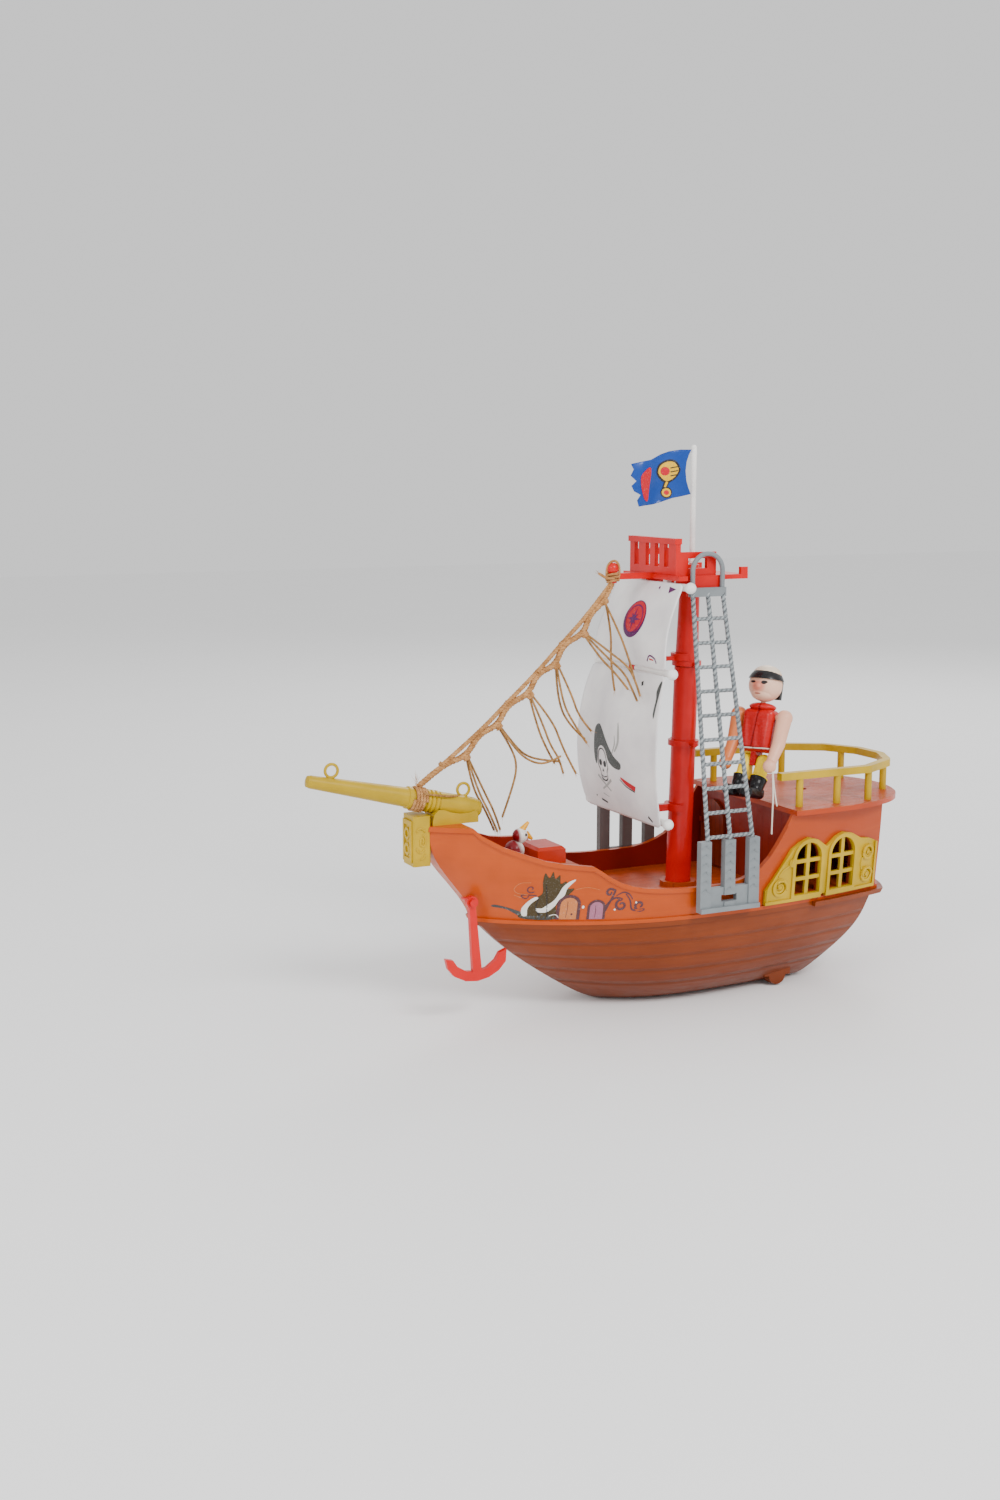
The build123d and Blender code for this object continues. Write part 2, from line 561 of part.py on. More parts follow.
# ---------------------------------------------------------------- parrot on the fore deck
parrot_x = 106.0
parrot_body = at(parrot_x, 0, 91.5) * Rot(0, 24, 0) * Sphere(5.6)
parrot_body += rod((parrot_x, 0, 84.5), (parrot_x, 0, 90), 3.0, 4.4)
parrot_body += rod((parrot_x + 3, 0, 90), (parrot_x + 9, 0, 86.2), 3.2, 1.6)
save(parrot_body, "parrot_body")
parrot_head = at(parrot_x - 3.4, 0, 99.4) * Sphere(4.3)
parrot_head -= at(parrot_x, 0, 91.5) * Rot(0, 24, 0) * Sphere(5.6)
save(parrot_head, "parrot_head")
beak = rod((parrot_x - 7.2, 0, 99.8), (parrot_x - 11.0, 0, 97.0), 2.2, 0.7)
beak += rod((parrot_x - 4.6, 0, 102.6), (parrot_x - 8.6, 0, 106.8), 1.9, 0.8)
save(beak - at(parrot_x - 3.4, 0, 99.4) * Sphere(4.3), "parrot_beak")


# ---------------------------------------------------------------- cords
def bend_radii(points):
    radii = []
    for i in range(1, len(points) - 1):
        a = Vector(*points[i]) - Vector(*points[i - 1])
        b = Vector(*points[i + 1]) - Vector(*points[i])
        half = math.radians(a.get_angle(b)) / 2
        radii.append(min(0.45 * min(a.length, b.length) / math.tan(half), 60))
    return radii


def cord(points, diameter):
    radii = bend_radii(points)
    print("least bend in diameters", round(min(radii) / diameter, 1), "runs", len(points) - 1)
    path = FilletPolyline(*points, radius=radii)
    return sweep(Plane(origin=path @ 0, z_dir=path % 0) * Circle(diameter / 2), path=path)


stay_d = 3.0
stay_points = [
    (163.5, 0, 132.0), (149.5, 0, 143), (135.5, 0.6, 146.5), (127.5, 0, 158.5), (116, -0.6, 162), (110.5, 0, 173.5),
    (97.5, 0.6, 178.5), (92.5, 0, 189.5), (80.5, -0.6, 193.5), (76.5, 0, 205), (63.5, 0.6, 210.5), (60, 0, 221),
    (50.5, 0, 228), (45.6, 0, 238.6),
]
save(cord(stay_points, stay_d), "stay_rope")

# The straight line that the knotted stay is tied to.
line_d = 2.2
line_points = [
    (150.5, 0.3, 142.2), (127.5, 0.5, 159.3), (110.5, -0.4, 174.3), (92.5, 0.4, 190.3), (76.5, -0.4, 205.8),
    (60, 0.3, 221.8), (45.6, 0.8, 239.4),
]
save(cord(line_points, line_d), "stay_line")

wrap_d = 1.6
wrap_turns = Helix(pitch=1.75, height=7.0, radius=5.2 + wrap_d / 2 + 0.05)
wrap_section = Plane(origin=wrap_turns @ 0, z_dir=wrap_turns % 0) * Circle(wrap_d / 2)
wrap = sprit_axis * Pos(0, 0, 34.9) * sweep(wrap_section, path=wrap_turns, is_frenet=True)
save(wrap, "wrap_rope")

strand_d = 1.1
tassels = {
    "tassel_1": [
        [(134.9, 1.0, 145.9), (130, 3.0, 128), (123, 3.8, 115), (118.5, 4.2, 104)],
        [(134.2, 0.4, 145.6), (124.0, 0, 125), (118.5, 0.4, 114.5), (115, 0.4, 104)],
        [(135.2, 0.0, 146.0), (130.2, -3.2, 128), (122.4, -4, 116), (116.6, -4, 103)],
    ],
    "tassel_2": [
        [(115.2, 0.2, 161.4), (107, 3, 148.5), (97.5, 3.6, 141), (88, 4.4, 139.4), (80.5, 6, 143.6)],
        [(114.6, -0.4, 161.6), (105.8, 0, 150.2), (99, 1, 144), (89, 1.6, 141.2), (79.5, 2, 140)],
        [(115.6, -1.0, 161.4), (106.5, -3, 149), (102.5, -3.4, 138), (106, -3.8, 124.5), (111.5, -4.2, 110)],
    ],
    "tassel_3": [
        [(96.8, 0.6, 177.8), (88.5, 0, 161), (84.5, 0.8, 149.5), (78.8, 1.6, 141), (76.8, 2, 133)],
        [(96.2, 1.0, 178.2), (84.2, 3, 163.5), (79, 3.8, 150), (74.8, 4.6, 141), (70.8, 6, 133)],
        [(97.3, 0.2, 177.8), (91, -2.6, 160), (85.5, -3, 148), (79.5, -3.4, 138)],
    ],
    "tassel_4": [
        [(79.8, -0.4, 192.8), (77.6, 1, 174.5), (71.6, 3, 161.5), (63.2, 4, 149.5)],
        [(79.2, -0.2, 193.2), (72.5, 3.4, 177.5), (69, 5, 165), (62, 7, 156.6)],
        [(80.3, -0.8, 192.8), (78.8, -2, 172.5), (69.8, -1.6, 157.5), (61.6, -1, 151)],
    ],
    "tassel_5": [
        [(62.8, 0.8, 209.8), (54, 9, 198), (46.8, 17, 189.5), (46.2, 24, 182), (46.6, 31, 175.5)],
        [(62.2, 1.0, 210.2), (51.6, 10, 200), (45.4, 18, 193.5), (44.8, 26, 186), (46.2, 33.4, 178.5)],
        [(63.2, 0.2, 209.6), (57.2, 8, 197), (52.2, 17, 189.5), (49.6, 26, 181.5)],
    ],
    "tassel_6": [
        [(50.0, 0.2, 227.4), (47.2, 2.6, 211), (48.8, 4.4, 194), (47.4, 7, 178.5)],
        [(50.6, 0.6, 227.4), (45.8, 9, 211), (43.0, 12.5, 200), (41.6, 15, 193), (41.4, 18.5, 186)],
    ],
}
for name, strands in tassels.items():
    bundle = [cord(points, strand_d) for points in strands]
    save(Compound(children=bundle), name)

tie_d = 1.0
thin_line = [(162.6, 5.4, 128.8), (154.5, 7.2, 127.6), (146, 5.6, 126.0), (139.2, 0.8, 125.2)]
save(cord(thin_line, tie_d), "breech_line")
print("saved", len(os.listdir("parts")), "nodes")
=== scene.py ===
# %% [markdown]
# # Toy sailing ship
# Metres, +X is the bow, +Y is port, +Z is up, and the origin is on the keel under the mast.
# The moulded hull, mast, ladders and rails are the frame's own solids and get finishes here.
# Sheets, ropes, prints, mouldings on the panels and the figure's face are made here.

# %% Frame
import math
import random

import bmesh
import bpy
import numpy as np
from mathutils import Matrix, Vector
from mathutils.bvhtree import BVHTree
from mathutils.geometry import delaunay_2d_cdt


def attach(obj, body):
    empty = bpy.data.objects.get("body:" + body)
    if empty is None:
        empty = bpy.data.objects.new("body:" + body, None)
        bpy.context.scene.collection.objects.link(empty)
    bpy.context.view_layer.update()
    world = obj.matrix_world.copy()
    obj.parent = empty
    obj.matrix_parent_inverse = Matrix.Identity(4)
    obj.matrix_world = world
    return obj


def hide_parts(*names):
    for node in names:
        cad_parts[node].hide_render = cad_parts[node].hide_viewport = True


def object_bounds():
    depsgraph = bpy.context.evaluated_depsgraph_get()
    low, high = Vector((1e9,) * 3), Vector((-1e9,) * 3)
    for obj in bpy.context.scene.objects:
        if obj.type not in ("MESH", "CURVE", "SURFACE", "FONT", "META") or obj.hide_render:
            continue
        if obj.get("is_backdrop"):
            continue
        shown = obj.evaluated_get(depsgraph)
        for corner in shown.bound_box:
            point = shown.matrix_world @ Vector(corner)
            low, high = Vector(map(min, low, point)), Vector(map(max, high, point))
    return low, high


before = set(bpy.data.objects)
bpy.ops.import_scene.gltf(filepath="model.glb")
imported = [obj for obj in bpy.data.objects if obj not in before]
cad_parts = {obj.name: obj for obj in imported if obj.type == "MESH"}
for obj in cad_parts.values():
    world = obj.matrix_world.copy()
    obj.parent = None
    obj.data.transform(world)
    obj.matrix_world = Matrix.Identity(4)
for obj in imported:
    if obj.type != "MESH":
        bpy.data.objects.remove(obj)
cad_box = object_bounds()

MM = 0.001
SIDES = ((1, "port"), (-1, "starboard"))
print("CAD box", [[round(v, 4) for v in corner] for corner in cad_box])

# %% [markdown]
# ## Camera
# A lens of about 42 mm on a 36 mm long side, a metre away and a little above the rail, looks at the
# port side from 25 degrees forward of the beam.

# %% Camera
SIDE_TURN = math.radians(25.4)
LOOK_DOWN = math.radians(9.3)
EYE = Vector((0.5212, 0.8557, 0.3037))

cam_data = bpy.data.cameras.new("camera")
cam_data.lens = 42.0
cam_data.sensor_width = 36.0
camera = bpy.data.objects.new("camera", cam_data)
bpy.context.scene.collection.objects.link(camera)
bpy.context.scene.camera = camera
look = Vector((
    -math.sin(SIDE_TURN) * math.cos(LOOK_DOWN), -math.cos(SIDE_TURN) * math.cos(LOOK_DOWN),
    -math.sin(LOOK_DOWN)))
camera.location = EYE
camera.rotation_euler = look.to_track_quat("-Z", "Y").to_euler()
print("camera looks along", [round(v, 3) for v in look])

# %% [markdown]
# ## Shader maths
# A patterned finish is a sum of small fields over the surface. One class wraps a socket, so that a
# field is written as an expression, and one method makes every other node.

# %% Shader helpers
COAT_SHARE = 0.5
COAT_ROUGHNESS = 0.12
SHINE = 0.28
GREY_TAKEN = 0.95
BRIGHTNESS = 0.95


class Field:
    """A socket of a material's node tree that can be added, multiplied and compared."""

    def __init__(self, paint, socket):
        self.paint = paint
        self.socket = socket

    def _math(self, operation, *others, clamp=False):
        values = dict(enumerate((self, *others)))
        return self.paint.node("ShaderNodeMath", {"operation": operation, "use_clamp": clamp}, values)

    def __add__(self, other):
        return self._math("ADD", other)

    __radd__ = __add__

    def __mul__(self, other):
        return self._math("MULTIPLY", other)

    __rmul__ = __mul__

    def __sub__(self, other):
        return self._math("SUBTRACT", other)

    def __rsub__(self, other):
        return (self * -1.0) + other

    def __truediv__(self, other):
        return self._math("DIVIDE", other)

    def __pow__(self, other):
        return self._math("POWER", other)

    def abs(self):
        return self._math("ABSOLUTE")

    def sin(self):
        return self._math("SINE")

    def fract(self):
        return self._math("FRACT")

    def above(self, limit):
        return self._math("GREATER_THAN", limit)

    def below(self, limit):
        return self._math("LESS_THAN", limit)

    def max(self, other):
        return self._math("MAXIMUM", other)

    def min(self, other):
        return self._math("MINIMUM", other)

    def clamp(self):
        return self._math("ADD", 0.0, clamp=True)

    def ramp(self, low, high):
        """0 below low, 1 above high, straight between."""
        return ((self - low) * (1.0 / (high - low))).clamp()


class Paint:
    """A material with one Principled shader."""

    def __init__(self, name, color, rough=0.45, coat=0.0):
        self.material = bpy.data.materials.new(name)
        self.material.use_nodes = True
        self.tree = self.material.node_tree
        self.shader = self.tree.nodes["Principled BSDF"]
        self.put("Base Color", (*color, 1.0))
        self.put("Roughness", rough)
        self.put("Coat Weight", coat * COAT_SHARE)
        self.put("Specular IOR Level", SHINE)
        self.put("Coat Roughness", COAT_ROUGHNESS)

    def put(self, name, value):
        socket = self.shader.inputs[name]
        if isinstance(value, Field):
            self.tree.links.new(value.socket, socket)
        else:
            socket.default_value = value

    def node(self, kind, settings=None, inputs=None, output=0):
        made = self.tree.nodes.new(kind)
        for key, value in (settings or {}).items():
            setattr(made, key, value)
        for key, value in (inputs or {}).items():
            socket = made.inputs[key]
            if isinstance(value, Field):
                self.tree.links.new(value.socket, socket)
            else:
                socket.default_value = value
        return Field(self, made.outputs[output])

    def object_xyz(self):
        """x, y and z in millimetres."""
        place = self.node("ShaderNodeTexCoord", output="Object")
        big = self.node("ShaderNodeVectorMath", {"operation": "SCALE"}, {0: place, "Scale": 1000.0})
        split = self.tree.nodes.new("ShaderNodeSeparateXYZ")
        self.tree.links.new(big.socket, split.inputs[0])
        return [Field(self, split.outputs[i]) for i in range(3)]

    def vector(self, x, y, z):
        return self.node("ShaderNodeCombineXYZ", {}, {0: x, 1: y, 2: z})

    def noise(self, vector, scale=1.0, detail=3.0, rough=0.5):
        inputs = {"Vector": vector, "Scale": scale, "Detail": detail, "Roughness": rough}
        return self.node("ShaderNodeTexNoise", {}, inputs)

    def mix(self, factor, a, b):
        a = a if isinstance(a, Field) else (*a, 1.0)
        b = b if isinstance(b, Field) else (*b, 1.0)
        return self.node("ShaderNodeMix", {"data_type": "RGBA"}, {0: factor, 6: a, 7: b}, output=2)

    def bump(self, height, depth_mm, strength=1.0):
        normal = self.node("ShaderNodeBump", {}, {"Strength": strength, "Distance": depth_mm * MM,
                                                  "Height": height})
        self.put("Normal", normal)


def srgb(r, g, b):
    """Linear colour from 0-255 values. A strong colour loses the grey in it, so that it reads rich
    under even light."""
    def linear(v):
        v = v / 255.0
        return v / 12.92 if v <= 0.04045 else ((v + 0.055) / 1.055) ** 2.4
    values = [linear(v) for v in (r, g, b)]
    top, low = max(values), min(values)
    grey_part = GREY_TAKEN * (1 - low / top) ** 2 * low
    return tuple(BRIGHTNESS * (v - grey_part) for v in values)


def give(name, paint):
    """The finish of a CAD node."""
    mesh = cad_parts[name].data
    mesh.materials.clear()
    mesh.materials.append(paint.material)

# %% [markdown]
# ## Rope routes
# The boat's rigging is tan jute twine. Each rope starts as the line that it follows, a smooth NURBS
# spline whose control points are the rope's bends, in millimetres. The same spline is read back as
# points, so that strands and knots can follow it.

# %% Routes
STAY = [
    (163.5, 0, 132.0), (149.5, 0, 143), (135.5, 0.6, 146.5), (127.5, 0, 158.5), (116, -0.6, 162),
    (110.5, 0, 173.5),
    (97.5, 0.6, 178.5), (92.5, 0, 189.5), (80.5, -0.6, 193.5), (76.5, 0, 205), (63.5, 0.6, 210.5),
    (60, 0, 221),
    (50.5, 0, 228), (45.6, 0, 238.6),
]
STAY_LINE = [
    (150.5, 0.3, 142.2), (127.5, 0.5, 159.3), (110.5, -0.4, 174.3), (92.5, 0.4, 190.3),
    (76.5, -0.4, 205.8),
    (60, 0.3, 221.8), (45.6, 0.8, 239.4),
]
TASSELS = {
    "tassel_1": [
        [(134.9, 1.0, 145.9), (130, 3.0, 128), (123, 3.8, 115), (118.5, 4.2, 104)],
        [(134.2, 0.4, 145.6), (124.0, 0, 125), (118.5, 0.4, 114.5), (115, 0.4, 104)],
        [(135.2, 0.0, 146.0), (130.2, -3.2, 128), (122.4, -4, 116), (116.6, -4, 103)],
    ],
    "tassel_2": [
        [(115.2, 0.2, 161.4), (107, 3, 148.5), (97.5, 3.6, 141), (88, 4.4, 139.4), (80.5, 6, 143.6)],
        [(114.6, -0.4, 161.6), (105.8, 0, 150.2), (99, 1, 144), (89, 1.6, 141.2), (79.5, 2, 140)],
        [(115.6, -1.0, 161.4), (106.5, -3, 149), (102.5, -3.4, 138), (106, -3.8, 124.5),
         (111.5, -4.2, 110)],
    ],
    "tassel_3": [
        [(96.8, 0.6, 177.8), (88.5, 0, 161), (84.5, 0.8, 149.5), (78.8, 1.6, 141), (76.8, 2, 133)],
        [(96.2, 1.0, 178.2), (84.2, 3, 163.5), (79, 3.8, 150), (74.8, 4.6, 141), (70.8, 6, 133)],
        [(97.3, 0.2, 177.8), (91, -2.6, 160), (85.5, -3, 148), (79.5, -3.4, 138)],
    ],
    "tassel_4": [
        [(79.8, -0.4, 192.8), (77.6, 1, 174.5), (71.6, 3, 161.5), (63.2, 4, 149.5)],
        [(79.2, -0.2, 193.2), (72.5, 3.4, 177.5), (69, 5, 165), (62, 7, 156.6)],
        [(80.3, -0.8, 192.8), (78.8, -2, 172.5), (69.8, -1.6, 157.5), (61.6, -1, 151)],
    ],
    "tassel_5": [
        [(62.8, 0.8, 209.8), (54, 9, 198), (46.8, 17, 189.5), (46.2, 24, 182), (46.6, 31, 175.5)],
        [(62.2, 1.0, 210.2), (51.6, 10, 200), (45.4, 18, 193.5), (44.8, 26, 186), (46.2, 33.4, 178.5)],
        [(63.2, 0.2, 209.6), (57.2, 8, 197), (52.2, 17, 189.5), (49.6, 26, 181.5)],
    ],
    "tassel_6": [
        [(50.0, 0.2, 227.4), (47.2, 2.6, 211), (48.8, 4.4, 194), (47.4, 7, 178.5)],
        [(50.6, 0.6, 227.4), (45.8, 9, 211), (43.0, 12.5, 200), (41.6, 15, 193), (41.4, 18.5, 186)],
    ],
}
SPRIT_ANGLE = math.radians(13.1)
SPRIT_BASE = Vector((127.0, 0.0, 116.6))
SPRIT_ALONG = Vector((math.cos(SPRIT_ANGLE), 0, math.sin(SPRIT_ANGLE)))
SPRIT_UP = Vector((-math.sin(SPRIT_ANGLE), 0, math.cos(SPRIT_ANGLE)))
SPRIT_SIDE = Vector((0, 1, 0))


def around_sprit(along, turn, radius):
    """A point beside the bowsprit, in millimetres. Turn is in degrees from port, over the top."""
    a = math.radians(turn)
    sideways = SPRIT_SIDE * math.cos(a) + SPRIT_UP * math.sin(a)
    return SPRIT_BASE + SPRIT_ALONG * along + sideways * radius


WRAP_START = 34.9
WRAP_WIDTH = 7.0
WRAP_RADIUS = 6.26
WRAP_TURNS = 4
WRAP_TURN_POINTS = 12
WRAP_STEPS = WRAP_TURNS * WRAP_TURN_POINTS
WRAP = [around_sprit(WRAP_START + WRAP_WIDTH * i / WRAP_STEPS, 360 * i / WRAP_TURN_POINTS, WRAP_RADIUS)
        for i in range(WRAP_STEPS + 1)]
BREECH_LINE = [(162.6, 5.4, 128.8), (154.5, 7.2, 127.6), (146, 5.6, 126.0), (139.2, 0.8, 125.2)]


def route_object(name, points):
    """A curve object of one open NURBS spline, with points in millimetres to control it."""
    data = bpy.data.curves.new(name, "CURVE")
    data.dimensions = "3D"
    data.resolution_u = 14
    spline = data.splines.new("NURBS")
    spline.points.add(len(points) - 1)
    for control, place in zip(spline.points, points):
        control.co = (*[v * MM for v in place], 1.0)
    spline.order_u = 3
    spline.use_endpoint_u = True
    made = bpy.data.objects.new(name, data)
    bpy.context.scene.collection.objects.link(made)
    return made


def route_line(route):
    """The points of a route's smooth line, in metres, in order."""
    mesh = bpy.data.meshes.new_from_object(route)
    line = [v.co.copy() for v in mesh.vertices]
    bpy.data.meshes.remove(mesh)
    return line


def length_of(line):
    return sum((b - a).length for a, b in zip(line, line[1:]))

# %% [markdown]
# ## Node trees
# Twine is several yarns laid round each other, the same all along. A Geometry Nodes tree turns a
# route into its yarns: it resamples the curve, pushes each point sideways by an angle that grows
# with the length, and sweeps a small circle along. A helper wires a tree by node type and name.

# %% Tree helper
class Tree:
    """A Geometry Nodes tree that is built node by node."""

    def __init__(self, name, inputs):
        self.group = bpy.data.node_groups.new(name, "GeometryNodeTree")
        side = self.group.interface
        side.new_socket("Geometry", in_out="INPUT", socket_type="NodeSocketGeometry")
        side.new_socket("Geometry", in_out="OUTPUT", socket_type="NodeSocketGeometry")
        for label, kind, value in inputs:
            socket = side.new_socket(label, in_out="INPUT", socket_type="NodeSocket" + kind)
            if value is not None:
                socket.default_value = value
        self.entry = self.group.nodes.new("NodeGroupInput")
        self.exit = self.group.nodes.new("NodeGroupOutput")

    def node(self, kind, settings=None, inputs=None):
        made = self.group.nodes.new(kind)
        for key, value in (settings or {}).items():
            setattr(made, key, value)
        for key, value in (inputs or {}).items():
            if isinstance(value, bpy.types.NodeSocket):
                self.group.links.new(value, made.inputs[key])
            else:
                made.inputs[key].default_value = value
        return made

    def math(self, operation, *values):
        made = self.node("ShaderNodeMath", {"operation": operation}, dict(enumerate(values)))
        return made.outputs[0]

    def vector(self, operation, *values, scale=None):
        inputs = dict(enumerate(values))
        if scale is not None:
            inputs["Scale"] = scale
        return self.node("ShaderNodeVectorMath", {"operation": operation}, inputs).outputs[0]

    def finish(self, geometry, material):
        """Real geometry with its material."""
        real = self.node("GeometryNodeRealizeInstances", {}, {"Geometry": geometry}).outputs[0]
        painted = self.node("GeometryNodeSetMaterial", {},
                            {"Geometry": real, "Material": material}).outputs[0]
        self.group.links.new(painted, self.exit.inputs[0])


def grow(tree, source, name, values):
    """Run a tree on a source object and keep the result as a plain mesh object."""
    modifier = source.modifiers.new(tree.group.name, "NODES")
    modifier.node_group = tree.group
    for item in tree.group.interface.items_tree:
        if item.in_out == "INPUT" and item.name in values:
            modifier[item.identifier] = values[item.name]
    source.update_tag()
    seen = source.evaluated_get(bpy.context.evaluated_depsgraph_get())
    mesh = bpy.data.meshes.new_from_object(seen)
    source.modifiers.remove(modifier)
    mesh.name = name
    made = bpy.data.objects.new(name, mesh)
    bpy.context.scene.collection.objects.link(made)
    return made


def drop(thing):
    """Remove a helper object."""
    bpy.data.objects.remove(thing, do_unlink=True)


YARN_RADIUS = 0.53
YARN_OFFSET = 0.47


def twine_tree(yarns):
    """Yarns laid round each other; the two shares above are of the rope's radius."""
    tree = Tree(f"twine of {yarns} yarns", [
        ("Rope radius", "Float", 0.0008), ("Lay", "Float", 0.004), ("Step", "Float", 0.0005),
        ("Material", "Material", None),
    ])
    given = tree.entry.outputs
    even = tree.node("GeometryNodeResampleCurve", {"mode": "LENGTH"}, {
        "Curve": given["Geometry"], "Length": given["Step"]})
    along = tree.node("GeometryNodeSplineParameter").outputs["Length"]
    tangent = tree.node("GeometryNodeInputTangent").outputs[0]
    normal = tree.node("GeometryNodeInputNormal").outputs[0]
    side = tree.vector("CROSS_PRODUCT", tangent, normal)
    thin = tree.math("MULTIPLY", given["Rope radius"], YARN_RADIUS)
    out = tree.math("MULTIPLY", given["Rope radius"], YARN_OFFSET)
    circle = tree.node("GeometryNodeCurvePrimitiveCircle", {}, {"Resolution": 6, "Radius": thin})
    joined = tree.node("GeometryNodeJoinGeometry")
    for k in range(yarns):
        turn = tree.math("MULTIPLY_ADD", tree.math("DIVIDE", along, given["Lay"]), math.tau,
                         math.tau * k / yarns)
        sideways = tree.vector("ADD", tree.vector("SCALE", normal, scale=tree.math("COSINE", turn)),
                               tree.vector("SCALE", side, scale=tree.math("SINE", turn)))
        moved = tree.node("GeometryNodeSetPosition", {}, {
            "Geometry": even.outputs[0], "Offset": tree.vector("SCALE", sideways, scale=out)})
        swept = tree.node("GeometryNodeCurveToMesh", {}, {
            "Curve": moved.outputs[0], "Profile Curve": circle.outputs[0], "Fill Caps": True})
        tree.group.links.new(swept.outputs[0], joined.inputs[0])
    tree.finish(joined.outputs[0], given["Material"])
    return tree


twine_three = twine_tree(3)
print("tree", twine_three.group.name, "with", len(twine_three.group.nodes), "nodes")


def lay_twine(name, points, radius, lay, step, paint, body="boat"):
    """Twine along a route, riding on a body, and the smooth line that it follows."""
    route = route_object(name + " route", points)
    line = route_line(route)
    rope = grow(twine_three, route, name, {
        "Rope radius": radius, "Lay": lay, "Step": step, "Material": paint.material})
    drop(route)
    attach(rope, body)
    return rope, line

# %% [markdown]
# ## Jute
# Jute is a dull tan fibre, lighter where light catches a yarn and brown in the grooves. Blotches a
# few millimetres long change its tint, and fine noise stretched along the rope stands for fibres.

# %% Jute finish
def jute_paint(name, light, dark, blotch_seed):
    paint = Paint(name, light, rough=0.9)
    x, y, z = paint.object_xyz()
    place = paint.vector(x + blotch_seed, y, z)
    blotch = paint.noise(place, 0.35, 2.0)
    fibre = paint.noise(place, 3.2, 2.0, 0.7)
    shade = (blotch.ramp(0.38, 0.62) * 0.45 + fibre.ramp(0.34, 0.6) * 0.55).clamp()
    paint.put("Base Color", paint.mix(shade, dark, light))
    paint.bump(fibre, 0.25, 0.6)
    return paint


jute = jute_paint("jute", srgb(226, 180, 136), srgb(146, 98, 62), 0.0)
jute_thin = jute_paint("jute thin", srgb(206, 162, 116), srgb(110, 82, 56), 31.0)

# %% [markdown]
# ## Stay, straight line and tassels
# The stay is a knotted cord that hangs in steps below a straight line, and from each step's corner
# hangs a tassel of bare twine ends. Each rope is made with its diameter, and its length is printed.

# %% Ropes
DRAWN_RADIUS = 0.62
ROPE_STEP = 0.28


def make_rope(name, points, diameter, lay, replaced, paint):
    """A laid rope along a route, in place of the frame part that it replaces; its length is printed."""
    rope, line = lay_twine(name, points, diameter * MM * DRAWN_RADIUS, lay * MM,
                           diameter * MM * ROPE_STEP, paint)
    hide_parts(replaced)
    length = length_of(line)
    print(name, "mm", round(length / MM, 1), "triangles", len(rope.data.polygons) * 2)


make_rope("stay", STAY, 3.0, 6.2, "stay_rope", jute)
make_rope("stay_line_rope", STAY_LINE, 2.2, 5.0, "stay_line", jute)
for tassel, routes in TASSELS.items():
    for k, points in enumerate(routes):
        make_rope(f"{tassel}_strand_{k + 1}", points, 1.1, 2.6, tassel, jute_thin)
make_rope("sprit_wrap", WRAP, 1.6, 4.0, "wrap_rope", jute)
make_rope("breech_tie", BREECH_LINE, 1.0, 2.6, "breech_line", jute_thin)

# %% [markdown]
# ## Knots and loops
# At each step's corner the cord is tied in a lump from which the tassel hangs, and at the top a few
# turns go round the red peg. A knot is a short route that winds round a point two or three times, a
# little unevenly, and the same twine tree gives it yarns.

# %% Knots
TURN_POINTS = 8


def knot_points(centre, along, size, turns, seed):
    """A winding round the line through centre, uneven like a hand-tied knot, in millimetres."""
    rng = random.Random(seed)
    axis = Vector(along).normalized()
    side = axis.cross(Vector((0, 1, 0.2))).normalized()
    other = axis.cross(side)
    points = []
    for i in range(turns * TURN_POINTS + 1):
        a = math.tau * i / TURN_POINTS
        lift = (i / (turns * TURN_POINTS) - 0.5) * size * 1.3 + rng.uniform(-0.25, 0.25)
        reach = size * rng.uniform(0.8, 1.1)
        across = side * math.cos(a) * reach
        points.append(Vector(centre) + axis * lift + across + other * math.sin(a) * reach)
    return points


def make_knot(name, points, thickness):
    knot, _ = lay_twine(name, points, thickness * MM / 2, 2.4 * MM, 0.45 * MM, jute)


for i, place in enumerate([(135.3, 0.4, 146.2), (115.6, -0.4, 161.9), (97.0, 0.4, 178.2),
                           (80.0, -0.4, 193.3),
                           (63.0, 0.4, 210.2), (50.4, 0.2, 227.8)]):
    make_knot(f"tassel_knot_{i + 1}", knot_points(place, (-0.5, 0.1, -1.0), 1.9, 3, i), 1.5)
for i, place in enumerate([(149.6, 0, 142.9), (127.3, 0.3, 158.6), (110.4, -0.2, 173.7),
                           (92.4, 0.2, 189.7),
                           (76.4, -0.2, 205.2), (59.9, 0.2, 221.3)]):
    make_knot(f"line_knot_{i + 1}", knot_points(place, (-1.0, 0.0, 0.9), 1.7, 2, 20 + i), 1.3)
peg_turns = [Vector((45.5 + math.cos(a) * 3.5, math.sin(a) * 3.5,
                     238.6 + 5.2 * a / (3 * math.tau) + 0.7 * math.sin(a)))
             for a in [math.tau * i / 10 for i in range(31)]]
make_knot("peg_turns", peg_turns, 1.7)
make_knot("peg_loop_over", [(42.6, 1.6, 240), (41.9, 2.2, 245), (43.6, 1.6, 250.4), (47.2, 0.6, 250.2),
                            (49.4, -0.8, 245.5),
                            (48.4, -1.4, 240)], 1.6)
make_knot("peg_tail", [(46.4, 3.6, 240.8), (50.2, 2.6, 240.6), (53.2, 2.2, 242.4), (55.4, 2.4, 243.6)],
          1.8)

# %% [markdown]
# ## Frayed ends
# Cut jute opens into loose fibres, and stray fibres stand off the wrap and the knots. A small tree
# puts thin three-sided hairs at points along a route and turns each one by a seeded random angle.

